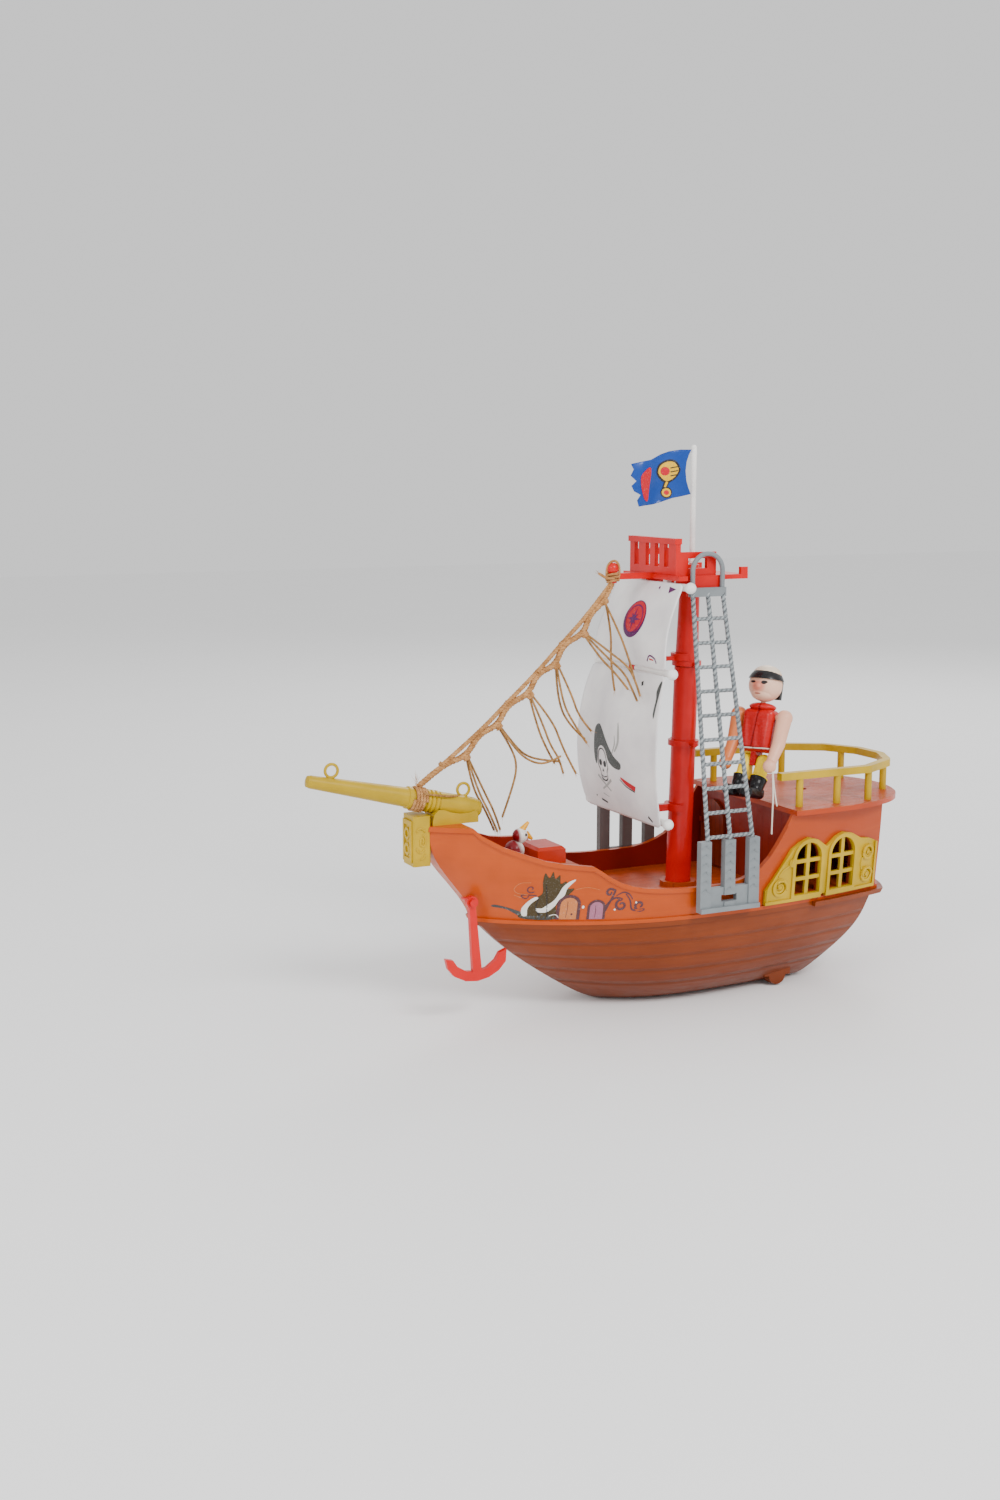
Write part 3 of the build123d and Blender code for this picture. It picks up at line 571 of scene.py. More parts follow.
# %% Fibres
def fibre_tree():
    tree = Tree("loose fibres", [
        ("Count", "Int", 20), ("Hair length", "Float", 0.004), ("Hair radius", "Float", 0.00008),
        ("Spread", "Float", 1.2), ("Seed", "Int", 0), ("Material", "Material", None),
    ])
    given = tree.entry.outputs
    points = tree.node("GeometryNodeCurveToPoints", {"mode": "COUNT"}, {
        "Curve": given["Geometry"], "Count": given["Count"]})
    hair = tree.node("GeometryNodeMeshCone", {}, {
        "Vertices": 3, "Radius Top": 0.00002, "Radius Bottom": given["Hair radius"],
        "Depth": given["Hair length"]})
    wide = tree.node("ShaderNodeCombineXYZ", {}, {0: given["Spread"], 1: given["Spread"],
                                                  2: 3.1}).outputs[0]
    less = tree.vector("SCALE", wide, scale=-1.0)
    turn = tree.node("FunctionNodeRandomValue", {"data_type": "FLOAT_VECTOR"},
                     {0: less, 1: wide, "Seed": given["Seed"]})
    size = tree.node("FunctionNodeRandomValue", {"data_type": "FLOAT"},
                     {2: 0.5, 3: 1.2, "Seed": given["Seed"]})
    turned = tree.node("FunctionNodeRotateRotation", {"rotation_space": "LOCAL"}, {
        0: points.outputs["Rotation"], 1: turn.outputs[0]})
    placed = tree.node("GeometryNodeInstanceOnPoints", {}, {
        "Points": points.outputs[0], "Instance": hair.outputs[0], "Rotation": turned.outputs[0],
        "Scale": size.outputs[1]})
    tree.finish(placed.outputs[0], given["Material"])
    return tree


fibres = fibre_tree()


def fray(name, points, count, length, spread, seed):
    route = route_object(name + " route", points)
    tuft = grow(fibres, route, name, {
        "Count": count, "Hair length": length * MM, "Spread": spread, "Seed": seed,
        "Material": jute.material})
    drop(route)
    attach(tuft, "boat")


strand_routes = [points for routes in TASSELS.values() for points in routes]
for i, points in enumerate(strand_routes):
    end = Vector(points[-1])
    back = (Vector(points[-2]) - end).normalized()
    fray(f"fray_{i + 1}", [end + back * 3.0, end + back * 1.5, end], 9, 3.6, 0.5, i + 1)
fray("wrap_fibres", [around_sprit(WRAP_START + i, 95 * i, 6.8) for i in range(8)], 60, 3.6, 1.4, 71)
fray("stay_fibres", [Vector(p) for p in STAY], 90, 2.6, 1.2, 72)
fray("line_fibres", [Vector(p) for p in STAY_LINE], 70, 2.4, 1.2, 74)
fray("tail_fibres", [(53.5, 2.2, 242.6), (54.6, 2.3, 243.1), (55.6, 2.4, 243.7)], 26, 3.2, 0.7, 73)
fray("wrap_tuft", [(166.0, 3.4, 132.0), (166.4, 4.2, 134.5), (167.0, 4.8, 137.5)], 30, 4.2, 0.6, 75)
print("frayed ends", len(strand_routes))

# %% [markdown]
# ## Moulded plastic
# Most of the toy is injection-moulded plastic: one colour all through, a soft gloss, a faint skin
# of ripples, and dull rubbed spots. One helper makes that finish from noise in object space, and
# each part then adds its own planks, grain or scuffs before the colour is set.

# %% Plastic helper
def moulded(name, color, rough=0.36, coat=0.15, spread=0.10, ripple=0.03):
    """A plastic finish; returns the paint, its position and its colour so far."""
    paint = Paint(name, color, rough=rough, coat=coat)
    x, y, z = paint.object_xyz()
    place = paint.vector(x, y, z)
    cloud = paint.noise(place, 0.035, 3.0, 0.55)
    fine = paint.noise(place, 0.9, 2.0, 0.5)
    deep = tuple(c * (1.0 - spread) for c in color)
    pale = tuple(min(1.0, c * (1.0 + spread) + 0.004) for c in color)
    tint = paint.mix(cloud.ramp(0.35, 0.65), deep, pale)
    rubbed = paint.noise(paint.vector(x * 0.4, y, z * 2.0), 0.16, 4.0, 0.6)
    paint.put("Roughness", (rubbed.ramp(0.45, 0.72) * 0.16 + (rough - 0.03)))
    paint.height = fine * ripple
    paint.place = (x, y, z)
    paint.put("Base Color", tint)
    return paint, tint


def simple_plastic(name, color, **settings):
    paint, tint = moulded(name, color, **settings)
    paint.bump(paint.height, 1.0, 0.5)
    return paint


red = simple_plastic("red plastic", srgb(206, 0, 0), rough=0.33, coat=0.25)
white = simple_plastic("white plastic", srgb(238, 236, 232), rough=0.4)
gold = simple_plastic("gold yellow plastic", srgb(188, 154, 0), rough=0.4, coat=0.1, spread=0.14)
grey = simple_plastic("grey plastic", srgb(128, 134, 137), rough=0.5, coat=0.05)
for node_name in ("mast_lower", "mast_upper", "crows_nest", "anchor", "anchor_peg"):
    give(node_name, red)
give("flagpole", white)
CLIP_FRONT = 24.0
CLIP_TOP = 225.0
CLIP_HALF = 3.2
yard_paint, yard_tint = moulded("white yard plastic with red clips", srgb(238, 236, 232), rough=0.4)
x, y, z = yard_paint.place
clip = (x.below(CLIP_FRONT) * z.below(CLIP_TOP)).max(y.abs().below(CLIP_HALF))
yard_paint.put("Base Color", yard_paint.mix(clip, yard_tint, srgb(206, 0, 0)))
yard_paint.bump(yard_paint.height, 1.0, 0.5)
for node_name in ("yard_top", "yard_middle", "yard_bottom"):
    give(node_name, yard_paint)
for node_name in ("stern_rail", "window_panel_port", "window_panel_starboard", "bowsprit",
                  "bowsprit_cradle",
                  "figurehead"):
    give(node_name, gold)
give("ladder_port", grey)

# %% [markdown]
# ## Lower hull
# The lower half is brown plastic with shallow moulded strakes. The strakes are grooves at four
# heights, written as the distance to the nearest groove, so they follow the hull for free. Painted
# shade darkens the grooves and the colour towards the keel, and long faint streaks run fore and aft.

# %% Brown hull
brown, brown_tint = moulded("brown hull plastic", srgb(132, 54, 0), rough=0.42, coat=0.12, spread=0.08)
x, y, z = brown.place
waver = brown.noise(brown.vector(x * 0.02, y * 0.02, 0.0), 1.0, 1.0)
groove = None
for height in (14.0, 23.0, 32.0, 41.0):
    line = 1.0 - ((z - (x * 0.006 + height) - waver * 0.8).abs() * 0.55).clamp()
    groove = line if groove is None else groove.max(line)
streak = brown.noise(brown.vector(x * 0.03, y * 0.03, z * 0.6), 1.0, 3.0, 0.6)
# painted shade: the colour darkens towards the keel
low = 1.0 - z.ramp(2.0, 46.0)
# painted shade towards the keel and in the grooves, plus random darker streaks of tone
shade = (low * 0.55 + groove * 0.35 + streak.ramp(0.4, 0.7) * 0.2).clamp()
brown.put("Base Color", brown.mix(shade, brown_tint, srgb(92, 34, 0)))
scuff = brown.noise(brown.vector(x * 0.25, y * 0.25, z * 1.3), 0.5, 5.0, 0.7)
brown.bump(brown.height - groove * 0.55 + scuff.ramp(0.6, 0.9) * 0.05, 1.2, 0.8)
give("lower_hull", brown)

wheel_paint = simple_plastic("wheel plastic", srgb(116, 44, 0), rough=0.45)
give("wheel_port", wheel_paint)
give("wheel_starboard", wheel_paint)

# %% [markdown]
# ## Upper hull
# The upper half is orange plastic, brighter at the bow and redder aft. Its inner faces are painted
# much deeper as painted shade, as light only reaches them after bouncing off red walls. The side
# that a face points to, compared with the side of the boat that it is on, tells outside from inside.

# %% Orange hull
orange, orange_tint = moulded("orange hull plastic", srgb(190, 74, 0), rough=0.36, coat=0.22,
                              spread=0.09)
x, y, z = orange.place
way = orange.tree.nodes.new("ShaderNodeSeparateXYZ")
orange.tree.links.new(orange.node("ShaderNodeTexCoord", output="Normal").socket, way.inputs[0])
facing = Field(orange, way.outputs[1])
beam = (y * 0.2).max(-1.0).min(1.0)
# painted shade: a mask of the faces that point inboard
inner_face_shade = (facing * beam * -1.0).ramp(0.25, 0.5)
aft = 1.0 - x.ramp(-60.0, 60.0)
outer = orange.mix(aft * 0.75, orange_tint, srgb(170, 58, 0))
# lighter streaks fore and aft: partly a painted highlight on the glossy side, partly pale scuffs
streak = orange.noise(orange.vector(x * 0.02, y * 0.05, z * 0.35), 1.0, 4.0, 0.6)
outer = orange.mix(streak.ramp(0.56, 0.8) * 0.28, outer, srgb(206, 94, 16))
# painted shade: inner faces are coloured deep red
orange.put("Base Color", orange.mix(inner_face_shade * 0.92, outer, srgb(120, 6, 2)))
scratch = orange.noise(orange.vector(x * 0.5, y * 0.3, z * 3.0), 0.6, 5.0, 0.75)
orange.bump(orange.height + scratch.ramp(0.62, 0.85) * 0.05, 1.0, 0.6)
give("upper_hull", orange)

# %% [markdown]
# ## Decks and cabin front
# The main deck has straight planks and the poop deck a moulded wood grain, both in the same
# orange-brown plastic. Planks are a repeated distance to a seam; grain is noise stretched fore and
# aft and bent by a second noise, used mostly as relief so that it catches the light, and its ridges
# are painted lighter as a painted highlight.

# %% Deck planks
planks, plank_tint = moulded("deck plank plastic", srgb(172, 64, 6), rough=0.42, spread=0.1)
x, y, z = planks.place
seam = ((y / 7.4).fract() - 0.5).abs().above(0.455)
board = planks.noise(planks.vector(x * 0.05, y * 0.9, z), 0.8, 3.0, 0.6)
planks.put("Base Color", planks.mix((seam * 0.6 + board.ramp(0.5, 0.75) * 0.3).clamp(), plank_tint,
                                    srgb(142, 46, 18)))
planks.bump(planks.height - seam * 0.5 + board * 0.12, 1.0, 0.7)
give("main_deck", planks)
give("fore_deck", planks)

grained, grain_tint = moulded("poop deck plastic", srgb(178, 58, 4), rough=0.34, coat=0.25, spread=0.08)
x, y, z = grained.place
bend = grained.noise(grained.vector(x * 0.03, y * 0.05, 0.0), 1.0, 2.0)
grain = grained.noise(grained.vector(x * 0.09, y * 0.85 + bend * 5.0, z * 0.1), 1.0, 4.0, 0.65)
top = z.ramp(110.2, 110.9)
# painted highlight: the grain's ridges on the deck top are coloured lighter
ridge = grain.ramp(0.44, 0.62) * top
grained.put("Base Color", grained.mix(ridge * 0.45, grain_tint, srgb(232, 124, 70)))
grained.bump(grained.height + ridge * 0.35, 1.1, 0.9)
give("poop_deck", grained)

cabin, cabin_tint = moulded("cabin front plastic", srgb(140, 30, 2), rough=0.4, spread=0.1)
x, y, z = cabin.place
upright = ((y / 6.2).fract() - 0.5).abs().above(0.44)
cabin.put("Base Color", cabin.mix(upright * 0.5, cabin_tint, srgb(120, 24, 8)))
cabin.bump(cabin.height - upright * 0.45, 1.0, 0.8)
give("poop_bulkhead", cabin)

door_paint, door_tint = moulded("door plastic", srgb(134, 52, 26), rough=0.46, spread=0.1)
x, y, z = door_paint.place
board_gap = ((y / 4.9).fract() - 0.5).abs().above(0.44)
wood = door_paint.noise(door_paint.vector(x, y * 1.6, z * 0.09), 1.0, 3.0, 0.6)
door_paint.put("Base Color", door_paint.mix((board_gap * 0.6 + wood.ramp(0.5, 0.7) * 0.35).clamp(),
                                            door_tint,
                                            srgb(84, 28, 14)))
door_paint.bump(door_paint.height - board_gap * 0.4 + wood * 0.15, 1.0, 0.8)
give("cabin_door", door_paint)
hatch_paint = simple_plastic("hatch plastic", srgb(182, 38, 0), rough=0.36, coat=0.2)
give("fore_hatch", hatch_paint)
print("plastics", len(bpy.data.materials))

# %% [markdown]
# ## Sails
# A sail of this toy is one thin white sheet held between two yards and pressed into a curve. Its
# side profile is a smooth curve through a few heights, the curve flattens towards the port edge,
# and the corners are rounded. A grid follows that rule and Solidify gives it two faces.

# %% Sail sheets
sail_paint = Paint("sail sheet", srgb(240, 237, 236), rough=0.55)
x, y, z = sail_paint.object_xyz()
sail_place = sail_paint.vector(x, y, z)
sail_cloud = sail_paint.noise(sail_place, 0.05, 3.0)
sail_weave = ((y * 5.0).sin() * (z * 5.0).sin()) * 0.5 + 0.5
sail_paint.put("Base Color", sail_paint.mix(sail_cloud.ramp(0.35, 0.7), srgb(228, 224, 225),
                                            srgb(246, 243, 241)))
sail_paint.bump(sail_weave * 0.25 + sail_paint.noise(sail_place, 0.12, 3.0) * 0.8, 0.5, 0.35)


def smooth_step(v, low, high):
    t = min(1.0, max(0.0, (v - low) / (high - low)))
    return t * t * (3 - 2 * t)


def mesh_object(name, verts_mm, faces, material, body="boat"):
    mesh = bpy.data.meshes.new(name)
    mesh.from_pydata([tuple(c * MM for c in v) for v in verts_mm], [], faces)
    mesh.materials.append(material)
    mesh.validate()
    for face in mesh.polygons:
        face.use_smooth = True
    made = bpy.data.objects.new(name, mesh)
    bpy.context.scene.collection.objects.link(made)
    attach(made, body)
    return made


def solid_sheet(thing, thickness_mm):
    modifier = thing.modifiers.new("thickness", "SOLIDIFY")
    modifier.thickness = thickness_mm * MM
    modifier.offset = 0.0
    seen = thing.evaluated_get(bpy.context.evaluated_depsgraph_get())
    mesh = bpy.data.meshes.new_from_object(seen)
    thing.modifiers.remove(modifier)
    thing.data = mesh


def surface_of(*meshes):
    """The faces of some meshes, as one surface that rays can be cast at."""
    verts, faces = [], []
    for mesh in meshes:
        base = len(verts)
        verts += [v.co.copy() for v in mesh.vertices]
        faces += [tuple(k + base for k in p.vertices) for p in mesh.polygons]
    return BVHTree.FromPolygons(verts, faces)


SAIL_CORNER = 2.6
SAIL_THICKNESS = 0.6


def make_sail(name, node, profile, half_low, half_high, waist, flatten, columns=44, rows=56):
    heights = [p[1] for p in profile]
    curve = np.polyfit([(h - heights[0]) / (heights[-1] - heights[0]) for h in heights],
                       [p[0] for p in profile], 4)
    verts, faces = [], []
    for j in range(rows + 1):
        t = j / rows
        height = heights[0] + (heights[-1] - heights[0]) * t
        chord = profile[0][0] + (profile[-1][0] - profile[0][0]) * t
        bulge = float(np.polyval(curve, t)) - chord
        half = half_low + (half_high - half_low) * t + waist * math.sin(math.pi * t)
        edge = min(t, 1 - t) * (heights[-1] - heights[0])
        if edge < SAIL_CORNER:
            half -= SAIL_CORNER - math.sqrt(max(0.0, SAIL_CORNER ** 2 - (SAIL_CORNER - edge) ** 2))
        for i in range(columns + 1):
            u = 2 * i / columns - 1
            keep = 1 - flatten * smooth_step(u, 0.0, 1.0) - 0.12 * smooth_step(-u, 0.3, 1.0)
            ripple = 0.35 * math.sin(u * 5.0 + t * 4.0) * math.sin(math.pi * t)
            verts.append((chord + bulge * keep + ripple, half * u, height))
    for j in range(rows):
        for i in range(columns):
            a = j * (columns + 1) + i
            faces.append((a, a + 1, a + columns + 2, a + columns + 1))
    sail = mesh_object(name, verts, faces, sail_paint.material)
    flat_area = sum(f.area for f in sail.data.polygons)
    surface = surface_of(sail.data)
    edge_line = [sail.data.vertices[j * (columns + 1)].co for j in range(rows + 1)]
    tall = length_of(edge_line)
    wide = 2 * max(half_low, half_high) * MM
    solid_sheet(sail, SAIL_THICKNESS)
    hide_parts(node)
    min(flat_area, wide * tall)
    print(name, "flat mm", round(wide / MM, 1), round(tall / MM, 1), "area cm2",
          round(flat_area * 1e4, 1))
    return surface


UPPER_PROFILE = [(33.8, 192.2), (35.2, 203), (32.5, 216), (27.0, 228), (21.6, 238.6)]
LOWER_PROFILE = [(36.9, 105.5), (42.6, 120), (45.8, 138), (45.4, 156), (41.5, 174), (34.4, 189.2)]
upper_surface = make_sail("upper_sail_sheet", "sail_upper", UPPER_PROFILE, 39.5, 36.5, -1.5, 0.5)
lower_surface = make_sail("lower_sail_sheet", "sail_lower", LOWER_PROFILE, 42.0, 40.5, 0.0, 0.6)

# %% [markdown]
# ## Printed shapes
# Prints are flat inked shapes that lie on a curved surface. Each is drawn as closed outlines in
# millimetres, filled with triangles, and every corner is dropped onto the surface by a ray, a tenth
# of a millimetre proud. Strokes with a changing width give scrolls and whiskers.

# %% Print tools
def spline_point(a, b, c, d, t):
    """The point a share t of the way from b to c, on the smooth curve through all four."""
    return tuple(0.5 * (2 * b[k] + (c[k] - a[k]) * t + (2 * a[k] - 5 * b[k] + 4 * c[k] - d[k]) * t * t
                        + (3 * b[k] - a[k] - 3 * c[k] + d[k]) * t ** 3) for k in (0, 1))


def loop(points, per_side=6):
    """A smooth closed outline through the points."""
    count = len(points)
    return [spline_point(*(points[(i + k) % count] for k in (-1, 0, 1, 2)), s / per_side)
            for i in range(count) for s in range(per_side)]


def dense(points, per_side=5):
    """A smooth open line through the points."""
    last = len(points) - 1
    line = [spline_point(*(points[min(max(i + k, 0), last)] for k in (-1, 0, 1, 2)), s / per_side)
            for i in range(last) for s in range(per_side)]
    return line + [tuple(points[-1])]


def stroke(points, start, end, middle=None):
    """The outline of a pen stroke along open points, its width going from start to end."""
    line = dense(points, 7)
    left, right = [], []
    for i, place in enumerate(line):
        ahead, behind = line[min(i + 1, len(line) - 1)], line[max(i - 1, 0)]
        dx, dy = ahead[0] - behind[0], ahead[1] - behind[1]
        size = math.hypot(dx, dy) or 1.0
        f = i / (len(line) - 1)
        width = start + (end - start) * f
        if middle is not None:
            width += (middle - (start + end) / 2) * math.sin(math.pi * f)
        left.append((place[0] - dy / size * width / 2, place[1] + dx / size * width / 2))
        right.append((place[0] + dy / size * width / 2, place[1] - dx / size * width / 2))
    return left + right[::-1]


def ring(cx, cy, rx, ry, count=36):
    return [(cx + rx * math.cos(math.radians(360.0 * i / count)),
             cy + ry * math.sin(math.radians(360.0 * i / count))) for i in range(count)]


EYE_SHARE = 0.22


def curl(cx, cy, r, turns, start_deg, hand=1):
    """Points of a scroll from its outside to its eye, ten to a turn."""
    steps = int(turns * 10)
    points = []
    for i in range(steps + 1):
        reach = r * (1 - (1 - EYE_SHARE) * i / steps)
        turn = math.radians(start_deg + hand * 36 * i)
        points.append((cx + reach * math.cos(turn), cy + reach * math.sin(turn)))
    return points


def inside(place, outlines):
    odd = False
    for outline in outlines:
        for a, b in zip(outline, outline[1:] + outline[:1]):
            if (a[1] > place[1]) != (b[1] > place[1]):
                if place[0] < (b[0] - a[0]) * (place[1] - a[1]) / (b[1] - a[1]) + a[0]:
                    odd = not odd
    return odd


def ink(name, shapes, drop_point, paint, body="boat", grid=1.6):
    """Fill each shape, a list of outlines, and lay it on a surface with drop_point(a, b)."""
    verts, faces = [], []
    for outlines in shapes:
        points, edges = [], []
        for outline in outlines:
            base = len(points)
            points += [Vector(p) for p in outline]
            edges += [(base + i, base + (i + 1) % len(outline)) for i in range(len(outline))]
        low = [min(p[k] for p in points) for k in (0, 1)]
        high = [max(p[k] for p in points) for k in (0, 1)]
        for i in range(int((high[0] - low[0]) / grid)):
            for j in range(int((high[1] - low[1]) / grid)):
                place = (low[0] + (i + 0.53) * grid, low[1] + (j + 0.47) * grid)
                if inside(place, outlines):
                    points.append(Vector(place))
        made = delaunay_2d_cdt(points, edges, [], 0, 1e-5)
        base = len(verts)
        laid = [drop_point(p.x, p.y) for p in made[0]]
        verts += [v or (0, 0, 0) for v in laid]
        for face in made[2]:
            middle = sum((made[0][k] for k in face), Vector((0, 0))) / 3
            if inside(tuple(middle), outlines) and all(laid[k] for k in face):
                faces.append(tuple(base + k for k in face))
    used = sorted({k for f in faces for k in f})
    order = {k: i for i, k in enumerate(used)}
    return mesh_object(name, [verts[k] for k in used], [tuple(order[k] for k in f) for f in faces],
                       paint.material, body)


def on_surface(surface, start, way, proud):
    """Where a ray meets a surface, lifted off it, in millimetres; None where it misses."""
    hit, normal, _, _ = surface.ray_cast(start, way)
    if hit is None:
        return None
    if normal.dot(way) > 0:
        normal = -normal
    return tuple((hit + normal * proud * MM) / MM)


def on_sail(surface, proud):
    """Lays a point (y, z) on a sail's front."""
    return lambda a, b: on_surface(surface, Vector((0.1, a * MM, b * MM)), Vector((-1, 0, 0)), proud)


def rework(piece, *steps):
    """Run steps on the mesh of a piece."""
    mesh = bmesh.new()
    mesh.from_mesh(piece.data)
    for step in steps:
        step(mesh)
    mesh.to_mesh(piece.data)
    mesh.free()


def outward(mesh):
    bmesh.ops.recalc_face_normals(mesh, faces=mesh.faces)


def face_all(piece, direction):
    """Turn a print's faces towards a direction."""
    def turn(mesh):
        mesh.normal_update()
        wrong = [f for f in mesh.faces if f.normal.dot(Vector(direction)) < 0]
        bmesh.ops.reverse_faces(mesh, faces=wrong)
    rework(piece, turn)


def ink_paint(name, color, worn=0.25):
    """Printing ink, slightly worn, so that the speckled wear shows a paler tint."""
    paint = Paint(name, color, rough=0.5)
    x, y, z = paint.object_xyz()
    speck = paint.noise(paint.vector(x, y, z), 1.3, 3.0, 0.6)
    pale = tuple(c + (0.75 - c) * worn for c in color)
    paint.put("Base Color", paint.mix(speck.ramp(0.56, 0.7), color, pale))
    paint.bump(speck, 0.05, 0.3)
    return paint


ink_dark = ink_paint("dark grey ink", srgb(70, 72, 70), 0.2)
ink_black = ink_paint("black ink", srgb(36, 32, 34), 0.12)
ink_white = ink_paint("white ink", srgb(235, 231, 224), 0.0)
ink_red = ink_paint("red ink", srgb(196, 30, 44), 0.12)
ink_purple = ink_paint("purple ink", srgb(92, 28, 88), 0.12)
ink_grey = ink_paint("light grey ink", srgb(168, 168, 164), 0.1)

# %% [markdown]
# ## Sail prints
# The upper sail has a round red and purple emblem, and the lower sail a plain skull and crossed
# bones under a dark kerchief with a small red stroke. Short dark bars mark the slots where the
# yards' clips come through. All are designs of this file's own.

# %% Sail prints
on_upper, on_upper_second = on_sail(upper_surface, 0.42), on_sail(upper_surface, 0.55)
on_lower, on_lower_second = on_sail(lower_surface, 0.42), on_sail(lower_surface, 0.55)
EMBLEM = (1.5, 217.5)
STAR_REACH = (6.6, 2.0, 4.2, 2.0)
STAR_CORNERS = 16
star = [(EMBLEM[0] + STAR_REACH[i % 4] * math.sin(math.tau * i / STAR_CORNERS),
         EMBLEM[1] + STAR_REACH[i % 4] * math.cos(math.tau * i / STAR_CORNERS))
         for i in range(STAR_CORNERS)]
kerchief = loop([(-17.5, 154.5), (-13, 157.2), (-8.5, 154.0), (-2.5, 147.5), (4.5, 141.0),
                 (10.5, 137.2), (9.5, 133.8), (3.5, 134.5), (-1.5, 137.5), (-4.5, 143.0), (-9.0, 145.2),
                 (-13.2, 142.8), (-14.5, 137.5), (-16.5, 133.5), (-18.4, 137.0), (-18.8, 146.0)])
skull = loop([(-13.6, 137.5), (-12.4, 142.2), (-8.8, 143.8), (-5.2, 142.2), (-3.2, 137.6),
              (-2.2, 133.4), (-3.8, 130.2), (-4.2, 126.0), (-8.0, 124.6), (-11.6, 126.0),
              (-12.2, 130.4), (-14.2, 133.6)])
slot_marks = [[stroke([(-19.5, 112.0), (-13, 111.0)], 1.3, 1.3)],
              [stroke([(-25.0, 113.6), (-24.0, 113.4)], 1.0, 1.0)],
              [stroke([(30.5, 110.2), (34.5, 107.8)], 1.5, 0.8)],
              [stroke([(19.6, 184.4), (20.6, 182.2)], 1.9, 1.5)]]
SAIL_PRINTS = [
    ("emblem_disc", [[ring(*EMBLEM, 10.2, 10.2)]], on_upper, ink_purple),
    ("emblem_field", [[ring(EMBLEM[0] + 0.4, EMBLEM[1] + 1.0, 8.9, 8.6)]], on_upper_second, ink_red),
    ("emblem_star", [[star]], on_sail(upper_surface, 0.68), ink_purple),
    ("emblem_ring", [[ring(*EMBLEM, 8.0, 7.8), ring(*EMBLEM, 7.3, 7.1)]], on_sail(upper_surface, 0.66),
     ink_purple),
    ("skull_kerchief", [[kerchief]], on_lower, ink_dark),
    ("skull_outline", [[skull, [(a * 0.9 - 0.8, b * 0.92 + 10.8) for a, b in skull]]], on_lower_second,
     ink_black),
    ("skull_eyes", [[ring(-10.9, 135.2, 1.6, 1.9, 16)], [ring(-5.9, 134.9, 1.6, 1.9, 16)],
                    [[(-8.6, 132.2), (-7.6, 130.2), (-9.4, 130.2)]],
                    [stroke([(-11.2, 127.8), (-8.2, 127.0), (-5.0, 127.9)], 0.5, 0.5)]],
                    on_lower_second, ink_black),
    ("skull_bones", [[stroke([(-16.4, 127.0), (-10, 123.2), (-3.4, 119.4)], 1.6, 1.0)],
                     [stroke([(-0.6, 126.4), (-6.4, 122.8), (-13.4, 119.2)], 1.6, 1.0)],
                     [stroke([(-14.6, 116.4), (-8.4, 115.2)], 0.8, 0.4)]], on_lower, ink_grey),
    ("kerchief_tail", [[stroke([(5.5, 143.5), (8.0, 149.0), (7.6, 155.2), (6.6, 160.2)], 0.9, 0.3,
                               1.6)], [stroke([(3.0, 142.0), (5.2, 147.6), (4.6, 152.6)], 0.6, 0.3,
                                              0.9)]], on_lower, ink_grey),
    ("red_stroke", [[stroke([(9.6, 129.4), (15.0, 126.6), (21.6, 124.4)], 0.8, 2.8, 2.6)]], on_lower,
     ink_red),
    ("red_stroke_edge", [[stroke([(8.8, 128.2), (14.0, 124.8), (21.0, 122.6)], 0.5, 0.9)]], on_lower,
     ink_dark),
    ("edge_print", [[loop([(37.6, 186.0), (39.2, 185.5), (38.6, 179.5), (37.6, 173.0), (36.4, 166.0),
                           (35.2, 168.5), (36.2, 176.0), (35.4, 180.8)])]], on_lower, ink_dark),
    ("lower_slot_marks", slot_marks, on_lower, ink_black),
    ("upper_slot_marks", [[stroke([(20.5, 195.8), (22.6, 199.0), (27.6, 197.8), (29.8, 195.2)], 1.0,
                                  0.8)], [[(24.0, 236.6), (31.5, 235.6), (25.0, 233.0)]],
                                  [ring(14.0, 235.5, 0.8, 0.8, 10)]], on_upper, ink_purple),
    ("upper_slot_red", [[stroke([(22.8, 197.2), (27.0, 196.8)], 0.9, 0.6)]], on_upper_second, ink_red),
]
for name, shapes, place, paint in SAIL_PRINTS:
    piece = ink(name, shapes, place, paint)
    face_all(piece, (1, 0, 0))
print("sail prints", len(SAIL_PRINTS))

# %% [markdown]
# ## Hull decal
# A sticker of dark waves with a pale crest, two small arched doorways and a run of scrolls sits low
# on each bow. It is drawn once, as distance forward and height, and laid on both sides of the hull.

# %% Decal
hull_surface = surface_of(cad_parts["upper_hull"].data)


def on_hull(side, proud):
    """Lays a point (x, z) on one side of the hull."""
    return lambda a, b: on_surface(hull_surface, Vector((a * MM, side * 0.1, b * MM)),
                                   Vector((0, -side, 0)), proud)


ink_peach = ink_paint("peach ink", srgb(212, 142, 104), 0.15)
ink_lilac = ink_paint("lilac ink", srgb(176, 122, 142), 0.15)
ink_smoke = ink_paint("smoke ink", srgb(92, 62, 66), 0.12)
ink_leaf = ink_paint("olive dark ink", srgb(74, 62, 40), 0.1)
wave_back = loop([(112.6, 58.4), (112.8, 63.0), (109.4, 66.6), (107.2, 71.0), (104.4, 74.0),
                  (105.2, 80.6), (104.6, 86.0), (102.2, 83.0),
                  (100.6, 86.6), (99.2, 82.6), (97.0, 84.6), (96.2, 79.6), (93.4, 80.8), (92.4, 76.6),
                  (88.8, 76.4), (92.6, 71.2), (96.8, 66.0),
                  (96.0, 58.4)], 4)
crest = loop([(88.6, 81.8), (90.6, 79.2), (92.6, 76.4), (93.4, 72.6), (95.8, 69.8), (97.4, 66.2),
              (100.8, 62.6), (105.0, 62.4), (106.4, 64.6),
              (103.4, 64.8), (101.4, 66.6), (98.4, 69.4), (96.4, 73.4), (94.8, 77.6), (91.6, 80.8)], 4)
foam = loop([(112.2, 60.2), (113.0, 64.2), (110.8, 68.6), (107.6, 71.6), (106.0, 70.8), (108.6, 68.0),
             (110.2, 64.4), (110.0, 60.2)], 4)
